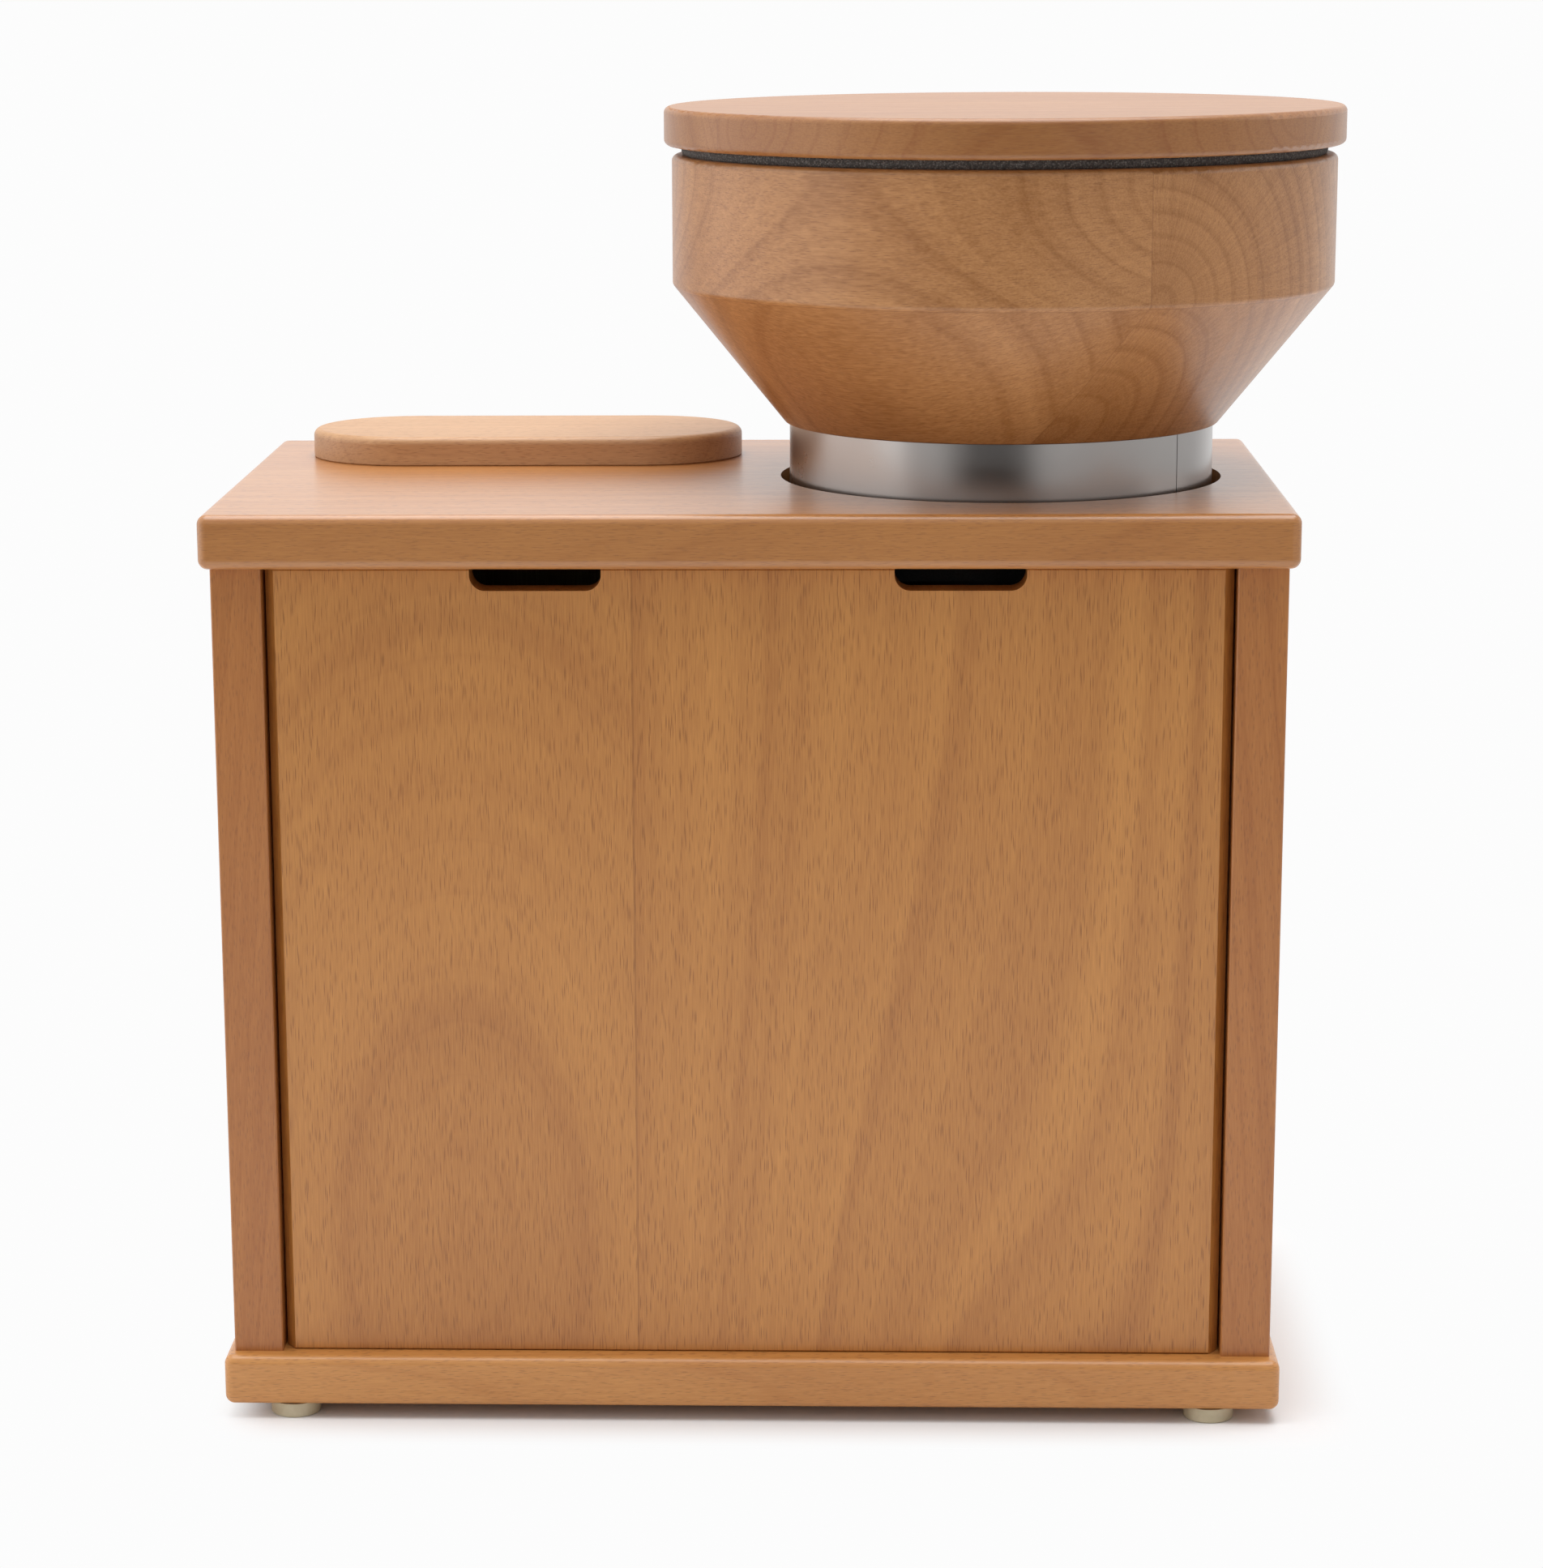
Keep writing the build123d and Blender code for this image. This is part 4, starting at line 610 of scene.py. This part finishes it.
def dress(material: bpy.types.Material, *nodes: str) -> None:
    """Give CAD nodes a finish and report them.

    Args:
        material: The finish.
        *nodes: Names of the nodes.
    """
    for name in nodes:
        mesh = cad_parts[name].data
        mesh.materials.clear()
        mesh.materials.append(material)
    log.info("%s on %s", material.name, ", ".join(nodes))


def box_mm(node: str) -> tuple[Vector, Vector]:
    """Give a node's lowest and highest corners in mm."""
    low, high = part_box(node)
    return low / MM, high / MM


@dataclass
class CrossScrews:
    """The screws of one CAD node, each with a cross recess in its head.

    Attributes:
        node: The CAD node that they stand for.
        body: Body that they ride.
        way: Axis that they lie along: 0, 1 or 2.
        sign: 1 when the heads look up the axis, -1 when they look down.
        counts: How many there are along each of the two other axes, in the order of the axes.
        radii: Radius of the head and of the shank, mm.
        head: Height of the head, mm.
        sunk: Whether the head tapers to the shank.
        face_rings: Circles of points over the head's face.
        turns: Points round each circle.
    """

    node: str
    body: str
    way: int
    sign: int
    counts: tuple[int, int]
    radii: tuple[float, float]
    head: float
    sunk: bool = True
    face_rings: int = 18
    turns: int = 48

    def profile(self, length: float) -> tuple[np.ndarray, np.ndarray]:
        """Give the radius and height of each ring, from the middle of the head to the tip.

        Args:
            length: Length of the screw, mm.

        Returns:
            The radii and the heights, with the head's face at zero.
        """
        wide, thin = self.radii
        under = [(wide, -0.25), (thin, -self.head)] if self.sunk else [(wide, -0.25), (wide, -self.head),
                                                                       (thin, -self.head)]
        top = [(r, 0.0) for r in np.linspace(0.02, wide - 0.15, self.face_rings)]
        r, z = np.array(top + under + [(thin, 2.0 - length), (0.05, -length)]).T
        return r, z

    def build(self) -> None:
        """Build the screws.

        The face of each head sinks by the recess: its depth times how far a point lies inside the arms of a
        cross, times how far it lies inside the recess's round end.
        """
        low, high = (np.array(corner) for corner in box_mm(self.node))
        length = high[self.way] - low[self.way]
        r, z = self.profile(length)
        turns = np.linspace(0, 2 * np.pi, self.turns, endpoint=False)
        a, b = r[:, None] * np.cos(turns), r[:, None] * np.sin(turns)
        wide = self.radii[0]
        arm = np.clip((0.17 * wide - np.minimum(abs(a), abs(b))) / (0.09 * wide), 0, 1)
        inside = np.clip((0.62 * wide - r[:, None]) / (0.2 * wide), 0, 1)
        face = (np.arange(len(r)) < self.face_rings)[:, None]
        z = z[:, None] - 0.45 * wide * arm * inside * face
        across = [i for i in range(3) if i != self.way]
        places = [np.linspace(low[i] + wide, high[i] - wide, n) for i, n in zip(across, self.counts)]
        u, v = (grid.ravel() for grid in np.meshgrid(*places, indexing="ij"))
        points = np.empty((len(u), *z.shape, 3))
        points[..., across[0]] = u[:, None, None] + a
        points[..., across[1]] = v[:, None, None] + b
        points[..., self.way] = (high if self.sign > 0 else low)[self.way] + self.sign * z
        faces = grid_faces(len(r), self.turns, False, True)
        if self.sign * (1 if self.way == 1 else -1) < 0:
            faces = faces[:, ::-1]
        count = z.size
        faces = np.concatenate([faces + count * k for k in range(len(u))])
        caps = [list(range(count * k, count * k + self.turns)) for k in range(len(u))]
        caps += [list(range(count * (k + 1) - self.turns, count * (k + 1))) for k in range(len(u))]
        piece = mesh_piece(f"{self.node}_crossed", points.reshape(-1, 3), faces, self.body,
                           ZINC, caps=caps)
        piece.data.set_sharp_from_angle(angle=math.radians(35))
        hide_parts(self.node)
        log.info("%s replaces %s", piece.name, self.node)


@dataclass
class Cabinet:
    """The case: boards, front panel with its stops, back, divider, flour bin and feet."""

    panel_joint: float = -46.4

    def build(self) -> None:
        """Dress the boards, each with its own figure."""
        board = dict(light="#C58848", dark="#A0632D", ring=2.6, band=8.0, waver=4.0, rays=Rays.SHORT,
                     band_depth=0.35, ring_depth=0.15)
        top = Beech("Oiled beech, top board",
                    (Stave((0, 60, 300), (1, 0.03, 0.01), (0, -1, 0), depth=160),
                     Stave((40, 190, 250), (1, -0.02, 0.03), (0, -1, 0), (((0, 1, 0), 22.0),), 0.12, 160)),
                    coat=0.75, **board).build()
        dress(top, "top_board")
        base = Beech("Oiled beech, base board",
                     (Stave((-60, -58, 6), (1, 0.05, 0.02), (0, -1, 0), depth=42),),
                     **{**board, "band": 12.0, "light": "#D79A56", "dark": "#B57538"}).build()
        dress(base, "base_board")
        left = box_mm("left_side_board")[0].x
        for name, x, lean in (("left_side_board", left + 90, 0.03), ("right_side_board", left + 200, -0.04)):
            side = Beech(f"Oiled beech, {name.replace('_', ' ')}",
                         (Stave((x, 10, 0), (lean, 0.04, 1), (0, -1, 0), depth=104),
                          Stave((x + 20, 140, 0), (lean, -0.03, 1), (0, -1, 0), (((0, 1, 0), 6.0),), 0.1,
                                120)),
                         light="#C07F40", dark="#9C5B27", ring=2.4, band=7.0, band_depth=0.35,
                         ring_depth=0.15, rays=Rays.SHORT).build()
            dress(side, name)
        panel = Beech("Oiled beech, front panel",
                      (Stave((-102, -92, 58), heart=(-90, 60, 0), lean=0.5),
                       Stave((-146.4, -92, 269), beyond=(((1, 0, 0), self.panel_joint),), heart=(40, 60, 0),
                             sway=62.0)),
                      light="#D6964C", dark="#A0622B", ring=5.0, band=10.0, band_depth=0.12,
                      ring_depth=0.05, waver=2.4, cloud=0.14, fleck="#7A4419", fleck_depth=0.6, glue=0.3,
                      bow=(194.0, 60.0, 248.0),
                      chart=((0, 0.6), (30, 0.6), (38, 0.68), (43, 0.54), (48, 0.46), (60, 0.47), (84, 0.5),
                             (98, 0.52), (101, 0.64), (106, 0.5), (122, 0.46), (140, 0.46), (144, 0.68),
                             (148, 0.5), (166, 0.46), (184, 0.46), (198, 0.4), (203, 0.66), (208, 0.54),
                             (222, 0.5), (238, 0.54), (250, 0.48), (258, 0.36), (262, 0.64), (266, 0.52),
                             (273, 0.44), (277, 0.66), (280, 0.5), (286, 0.54), (292, 0.46), (300, 0.5))
                      ).build()
        dress(panel, "front_panel")
        inner = Beech("Oiled beech, panel stops", (Stave((30, 60, 0), (0.02, 0.03, 1), (0, -1, 0)),),
                      light="#C99464", dark="#A56D41", ring=2.0, band=9.0).build()
        dress(inner, "panel_stops")
        for node, stave in (("bin_end_walls", Stave((0, -40, 120), (1, 0.02, 0.04), (0, -1, 0))),
                            ("bin_side_walls", Stave((-60, 0, 110), (0.02, 1, 0.04), (1, 0, 0)))):
            walls = Beech(f"Oiled beech, {node.replace('_', ' ')}", (stave,), light="#CF9A69",
                          dark="#AD7546", ring=2.2, band=10.0).build()
            dress(walls, node)
        for node, axis, ply, grain in (("back_panel", 1, 1.43, Grain.UPRIGHT),
                                       ("divider_board", 0, 1.33, Grain.UPRIGHT),
                                       ("bin_floor", 2, 1.0, Grain.DEPTH)):
            through = tuple(float(i == axis) for i in range(3))
            sheet = Plywood(f"Birch plywood, {node.replace('_', ' ')}", through, box_mm(node)[0][axis], ply,
                            grain).build()
            dress(sheet, node)
        dowels = Beech("Beech dowels", (Stave((0, 0, 0), (0, 0, 1), (0, 1, 0)),), ring=2.0).build()
        dress(dowels, "cabinet_dowels")
        # Moulded elastomer feet: cream coloured, dull, IOR 1.5, roughness 0.6.
        dress(Moulded("Cream rubber, moulded", "#C9BC9F", "#B9AB8B", 0.6, 1.5, 0.6, 0.02).build(),
              "rubber_feet")
        dress(ZINC, "strike_plates")
        CrossScrews("back_screws", "cabinet", 1, 1, (2, 4), (3.6, 1.75), 1.85).build()
        CrossScrews("foot_screws", "cabinet", 2, -1, (2, 2), (4.15, 1.75), 2.0, sunk=False).build()
        # Nickel plate on the magnets: bright and slightly warm, roughness about 0.2.
        dress(Metal("Nickel plate", "#C9C4B8", "#ABA79D", 0.22).build(), "stop_magnets")


@dataclass
class OvalLid:
    """The lid over the scoop mouth in the top board."""

    def build(self) -> None:
        """Dress the lid and its locating plug."""
        low, high = box_mm("oval_lid")
        finish = Beech("Oiled beech, oval lid", (Stave(((low.x + high.x) / 2, high.y + 20, low.z - 24),
                                                       (1, 0.03, 0.03), (0, -1, 0), depth=90),),
                       light="#CFA173", dark="#B08259", ring=2.4, band=8.0, band_depth=0.35, ring_depth=0.15,
                       rays=Rays.SHORT, coat=0.1).build()
        dress(finish, "oval_lid", "oval_lid_plug")


@dataclass
class Hopper:
    """The turned hopper, its wooden lid and the foam seal between them."""

    joint_z: float = 356.0
    seam_azimuth: float = -39.4
    seam_out: float = 50.0
    foam_bulge: float = 0.5
    foam_width: float = 12.0
    foam_turns: int = 480

    def blank(self, name: str, centre: Vector) -> bpy.types.Material:
        """Make the blank's finish: two layers, each a wide board at the front left and one behind.

        Args:
            name: Name of the material.
            centre: A point on the mill's axis, mm.

        Returns:
            The material.
        """
        a = math.radians(self.seam_azimuth)
        out = (math.sin(a), -math.cos(a), 0.0)
        along = (math.cos(a), math.sin(a), 0.0)
        seam = (out, self.seam_out + Vector(out).dot(centre))

        def pith(distance: float, z: float) -> Point:
            """Place the pith line a distance out from the mill's axis, at a height."""
            return tuple(centre + Vector(out) * distance + Vector((0, 0, z - centre.z)))

        rise = (along[0] - 0.176 * out[0], along[1] - 0.176 * out[1], 0.0)
        low_side = ((0, 0, -1), -self.joint_z)
        return Beech(name,
                     (Stave(pith(48, 358), along, out, tone=0.06, end_grain=True),
                      Stave(pith(53, 395), rise, out, (seam,), depth=45),
                      Stave(pith(48, 316), along, out, (low_side,), 0.16, end_grain=True),
                      Stave(pith(234, 202), rise, out, (seam, low_side), 0.12, heart=pith(-32, 429))),
                     light="#CD945D", dark="#98612F", ring=3.6, band=9.0, band_depth=0.42, ring_depth=0.2,
                     waver=3.6, rays=Rays.SHORT, line=0.6, fleck_depth=0.5, hatch=0.2).build()

    def build(self) -> None:
        """Dress the hopper and lid and build the seal."""
        low, high = box_mm("hopper")
        centre = (low + high) / 2
        dress(self.blank("Turned beech, hopper", centre), "hopper")
        lid_top = box_mm("hopper_lid")[1].z
        lid = Beech("Turned beech, hopper lid",
                    (Stave((centre.x, 70, lid_top - 50), (1, 0.03, 0.02), (0, -1, 0), depth=110),
                     Stave((centre.x - 30, -72, lid_top - 2), (1, 0.06, 0.02), (0, -1, 0),
                           (((0, -1, 0), 62.0),), 0.08, 36),
                     Stave((centre.x, 150, lid_top + 40), (1, 0.02, -0.03), (0, -1, 0),
                           (((0, 1, 0), 24.0),), 0.05, 90)),
                    light="#B57E46", dark="#925827", ring=2.6, band=9.0, band_depth=0.3, ring_depth=0.2,
                    rays=Rays.SHORT).build()
        dress(lid, "hopper_lid", "hopper_lid_plug")
        self.seal(centre)

    def seal(self, centre: Vector) -> None:
        """Build the foam ring.

        The profile is a rectangle whose outer and inner edges swell with the height's half sine; the radius
        wavers slightly with the angle, as cut foam does.

        Args:
            centre: A point on the mill's axis, mm.
        """
        low, high = box_mm("lid_seal")
        outer = (high.x - low.x) / 2 - self.foam_bulge
        inner = outer + self.foam_bulge - self.foam_width
        s = np.linspace(0, 1, 9)
        swell = self.foam_bulge * np.sin(np.pi * s)
        z = low.z + (high.z - low.z) * s
        radii = np.concatenate([outer + swell, np.linspace(outer, inner, 6)[1:-1], inner - 0 * s,
                                np.linspace(inner, outer, 6)[1:-1]])
        heights = np.concatenate([z, np.full(4, high.z), z[::-1], np.full(4, low.z)])
        turns = np.linspace(0, 2 * np.pi, self.foam_turns, endpoint=False)
        waver = 0.12 * np.sin(23 * turns) * np.sin(7 * turns + 1) - 0.12
        r = radii[None, :] + waver[:, None]
        points = np.stack([centre.x + r * np.cos(turns)[:, None], centre.y + r * np.sin(turns)[:, None],
                           np.broadcast_to(heights, r.shape)], -1).reshape(-1, 3)
        # Closed-cell polyethylene or neoprene foam: dark grey, open cut cells, dull; IOR 1.5.
        foam = Grit("Closed-cell foam, dark grey", "#4F4C49", "#96918D", 0.55, 0.85, 0.25).build()
        faces = grid_faces(self.foam_turns, len(radii), True, True)
        ring = mesh_piece("lid_seal_ring", points, faces, "hopper_lid", foam)
        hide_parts("lid_seal")
        log.info("lid_seal_ring replaces lid_seal")


@dataclass
class Collar:
    """The rolled aluminium strip round the hopper's foot."""

    seam_azimuth: float = 52.2
    seam_gap: float = 0.35
    wall: float = 1.5
    lip: float = 0.25
    turns: int = 361

    def build(self) -> None:
        """Build the strip with its butt seam."""
        low, high = box_mm("collar_sleeve")
        centre, outer = (low + high) / 2, (high.x - low.x) / 2
        # Rolled aluminium strip, fine satin: lines that run round stretch the highlights, roughness 0.28.
        finish = Metal("Aluminium strip, rolled satin", "#B0ACA9", "#ACA8A6", 0.28, Marks.ROLLED_ROUND,
                       0.00001, 0.9, mottle=0.02).build()
        wall, lip = self.wall, self.lip
        r = np.array([outer - lip, outer, outer, outer - lip, outer - wall + lip, outer - wall, outer - wall,
                      outer - wall + lip])
        z = np.array([low.z, low.z + lip, high.z - lip, high.z, high.z, high.z - lip, low.z + lip, low.z])
        gap = self.seam_gap / outer / 2
        seam = math.radians(self.seam_azimuth - 90)
        turns = np.linspace(seam + gap, seam + 2 * np.pi - gap, self.turns)
        points = np.stack([centre.x + r[None, :] * np.cos(turns)[:, None],
                           centre.y + r[None, :] * np.sin(turns)[:, None],
                           np.broadcast_to(z, (self.turns, len(r)))], -1).reshape(-1, 3)
        faces = grid_faces(self.turns, len(r), False, True)
        ends = np.array([[7, 6, 5, 4], [7, 4, 3, 0], [0, 3, 2, 1]])
        caps = np.concatenate([ends, len(r) * (self.turns - 1) + ends[:, ::-1]]).tolist()
        strip = mesh_piece("collar_strip", points, faces, "hopper", finish, caps=caps)
        strip.data.set_sharp_from_angle(angle=math.radians(35))
        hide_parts("collar_sleeve")
        log.info("collar_strip replaces collar_sleeve")


@dataclass
class Mill:
    """The grinding head, its drive motor and the electrical fittings."""

    def build(self) -> None:
        """Dress the hidden works."""
        # Gravity cast aluminium, bead blasted: dull even grey, roughness 0.5.
        dress(Metal("Cast aluminium, blasted", "#A9A9AB", "#8E8E90", 0.5, Marks.CAST, 0.05).build(),
              "rotor_core", "motor_top_shield", "motor_lower_shield")
        # The same casting coloured very dark as painted shade, standing for the dark seen through the front
        # panel's notch: dull, roughness 0.6.
        dress(Metal("Cast aluminium, darkened as painted shade", "#39393A", "#2A2A2B", 0.6, Marks.CAST,
                    0.05).build(), "mill_housing")
        # Turned aluminium: fine tool lines, roughness 0.28.
        dress(Metal("Aluminium, turned", "#D2D2D3", "#B5B5B7", 0.28, Marks.ROLLED_ROUND, 0.012).build(),
              "stone_carrier", "adjusting_ring", "stone_holder")
        dress(ZINC, "housing_screws", "motor_bolts", "chute_screws", "carrier_screws", "hopper_screws",
              "stone_nut", "capacitor_cup", "reset_bush")
        # Ground steel: bright with faint lengthwise lines, roughness 0.25.
        dress(Metal("Steel, ground", "#AEADAE", "#8D8C8E", 0.25, Marks.ALONG_Z, 0.01).build(),
              "guide_keys", "motor_shaft", "shaft_bearings")
        dress(Metal("Spring steel, phosphated", "#4D4D50", "#3A3A3D", 0.5).build(), "snap_ring")
        dress(Metal("Stamped laminations", "#6C6C70", "#434347", 0.45, Marks.STACKED, 0.1, 0.15).build(),
              "stator_core")
        # Enamelled copper wire under varnish: warm, half metallic, roughness 0.35.
        dress(Metal("Enamelled copper wire", "#C2703F", "#7A3C1E", 0.35, Marks.WOUND, 0.3, 0.15, 0.8).build(),
              "stator_windings")
        # Corundum grains in a ceramic bond: pale, speckled, dull; IOR 1.6.
        dress(Grit("Corundum mill stone", "#A9A49A", "#E4E0D6", 1.1, 0.8, 0.35, 1.6).build(),
              "runner_stone", "upper_stone")
        dress(Moulded("Food grade polypropylene", "#E6E4DC", "#DAD8CF", 0.42, 1.49, 0.8, 0.02).build(),
              "flour_chute", "feed_tube", "feed_plate")
        dress(Moulded("Nitrile rubber", "#1E1E1F", "#29292A", 0.6, 1.52, 0.4, 0.02).build(), "shaft_seal")
        dress(Moulded("Baked enamel, charcoal", "#2E3134", "#25282B", 0.38, 1.5, 1.4, 0.03).build(),
              "motor_shell", "fan_cover")
        dress(Moulded("Capacitor case", "#D9D7D0", "#CBC9C1", 0.4, 1.5, 0.8, 0.02).build(), "run_capacitor")
        dress(Moulded("Black nylon, moulded", "#1B1B1C", "#242425", 0.5, 1.53, 0.5, 0.03).build(),
              "cooling_fan", "switch_body", "cord_gland", "gland_nut")
        dress(Moulded("Black polycarbonate, polished", "#141415", "#1B1B1C", 0.2, 1.58, 0.9, 0.004).build(),
              "rocker", "reset_button")


@dataclass
class Studio:
    """Pale floor, soft lamps and the camera."""

    white: float = 0.975
    floor_reach: float = 1.0
    shade_from: Point = (0.162, 0.098, 0.0)
    shade_reach: float = 0.026
    lamps: tuple = field(default_factory=lambda: (
        ("overhead", (0.1, 0.2, 3.0), 2.8, 106.0),
        ("left_side", (-1.8, -0.1, 0.9), 2.8, 21.0),
        ("right_side", (1.9, 0.3, 1.0), 1.3, 4.0),
        ("front_fill", (-0.4, -2.2, 1.1), 1.4, 2.5),
    ))

    def floor(self) -> None:
        """Build the floor disc.

        Points lie on circles whose radius grows with the square of the row's number. Near the object it shows
        its own shade, further out it takes the even white of the backdrop.
        """
        rows, columns = 24, 96
        r = self.floor_reach * np.linspace(0, 1, rows) ** 2 + 0.001
        a = np.linspace(0, 2 * np.pi, columns, endpoint=False)
        points = np.stack([r[:, None] * np.cos(a), r[:, None] * np.sin(a), np.zeros((rows, columns))], -1)
        points = np.concatenate([points.reshape(-1, 3), [[0.0, 0.0, 0.0]]])
        faces = grid_faces(rows, columns, False, True).tolist()
        hub = rows * columns
        faces += np.stack([np.full(columns, hub), np.arange(columns), (np.arange(columns) + 1) % columns],
                          1).tolist()
        mesh = bpy.data.meshes.new("floor")
        mesh.from_pydata(points.tolist(), [], faces)
        material = bpy.data.materials.new("Matt white floor")
        material.use_nodes = True
        t = material.node_tree
        t.nodes.clear()
        place = add(t, "TexCoord", out="Object")
        far = add(t, "VectorMath", {0: place}, operation="ABSOLUTE")
        far = add(t, "VectorMath", {0: far, 1: self.shade_from}, operation="SUBTRACT")
        far = add(t, "VectorMath", {0: far, 1: (0.0, 0.0, 0.0)}, operation="MAXIMUM")
        far = add(t, "VectorMath", {0: far}, out=1, operation="LENGTH")
        far = add(t, "MapRange", {"Value": far, "From Min": 0.0, "From Max": self.shade_reach},
                  interpolation_type="SMOOTHSTEP")
        seen = add(t, "LightPath", out="Is Camera Ray")
        matt = add(t, "BsdfDiffuse", {"Color": (0.89, 0.89, 0.9, 1)})
        glow = add(t, "Emission", {"Color": (self.white,) * 3 + (1,), "Strength": 1.0})
        both = add(t, "Math", {0: far, 1: seen}, operation="MULTIPLY")
        add(t, "OutputMaterial", {"Surface": add(t, "MixShader", {0: both, 1: matt, 2: glow})})
        mesh.materials.append(material)
        floor = bpy.data.objects.new("floor", mesh)
        bpy.context.scene.collection.objects.link(floor)

    def world(self) -> None:
        """Make the even surroundings.

        The room lights the object softly. The eye sees it an even white. Gloss sees it white straight behind
        the object, grey round the sides, and black in an upright band in front.
        """
        world = bpy.data.worlds.new("room")
        bpy.context.scene.world = world
        world.use_nodes = True
        t = world.node_tree
        t.nodes.clear()
        way = add(t, "TexCoord", out="Generated")
        part = add(t, "VectorMath", {0: way, 1: (-0.105, -0.9945, 0.0)}, out=1, operation="DOT_PRODUCT")
        side = add(t, "MapRange", {"Value": part, "From Min": -0.98, "From Max": -0.6},
                   interpolation_type="SMOOTHSTEP")
        room = blend(t, side, (1.0, 1.0, 1.0, 1), (0.66, 0.66, 0.66, 1))
        dim = add(t, "MapRange", {"Value": part, "From Min": 0.87, "From Max": 0.975},
                  interpolation_type="SMOOTHSTEP")
        room = blend(t, dim, room, (0.0, 0.0, 0.0, 1))
        gloss = add(t, "Background", {"Color": room, "Strength": 1.0})
        eye = add(t, "Background", {"Color": (self.white,) * 3 + (1,), "Strength": 1.0})
        light = add(t, "Background", {"Color": (1, 1, 1, 1), "Strength": 0.34})
        lit = add(t, "MixShader", {0: add(t, "LightPath", out="Is Glossy Ray"), 1: light, 2: gloss})
        seen = add(t, "Math", {0: add(t, "LightPath", out="Is Camera Ray"),
                               1: add(t, "LightPath", out="Is Transmission Ray")}, operation="MAXIMUM")
        add(t, "OutputWorld", {"Surface": add(t, "MixShader", {0: seen, 1: lit, 2: eye})})

    def camera(self) -> None:
        """Place the camera."""
        def spin(angle: float, axis: str) -> Matrix:
            """Give a rotation about one axis."""
            return Matrix.Rotation(angle, 3, axis)

        to_camera = spin(-0.0059813855, "Y") @ spin(0.2286458542, "X") @ spin(-0.0356152007, "Z")
        right, ahead, up = to_camera
        data = bpy.data.cameras.new("camera")
        data.lens, data.sensor_width = 95.624, 36.0
        data.shift_x, data.shift_y = 0.04134, 0.07752
        data.clip_start, data.clip_end = 0.05, 200.0
        camera = bpy.data.objects.new("camera", data)
        bpy.context.scene.collection.objects.link(camera)
        turn = Matrix((right, up, -ahead)).transposed().to_4x4()
        camera.matrix_world = Matrix.Translation((0.021932, -1.370748, 0.466960)) @ turn
        bpy.context.scene.camera = camera

    def build(self) -> None:
        """Make the floor, the room, the lamps and the camera."""
        self.floor()
        self.world()
        for name, place, size, power in self.lamps:
            data = bpy.data.lights.new(name, "AREA")
            data.energy, data.size = power, size
            lamp = bpy.data.objects.new(name, data)
            lamp.location = place
            lamp.rotation_euler = (Vector((0, 0, 0.2)) - Vector(place)).to_track_quat("-Z", "Y").to_euler()
            bpy.context.scene.collection.objects.link(lamp)
        self.camera()
        bpy.context.scene.view_settings.view_transform = "Standard"


# Zinc plated steel: bluish bright plate with faint clouds, roughness about 0.3.
ZINC = Metal("Zinc plated steel", "#C6C9CC", "#A4A7AB", 0.3, Marks.CAST, 0.01, 0.6).build()


def main() -> None:
    """Build the sub-assemblies in order, then the studio."""
    for assembly in (Cabinet(), OvalLid(), Hopper(), Collar(), Mill(), Studio()):
        assembly.build()
        log.info("%s done", type(assembly).__name__)


if __name__ == "__main__":
    main()
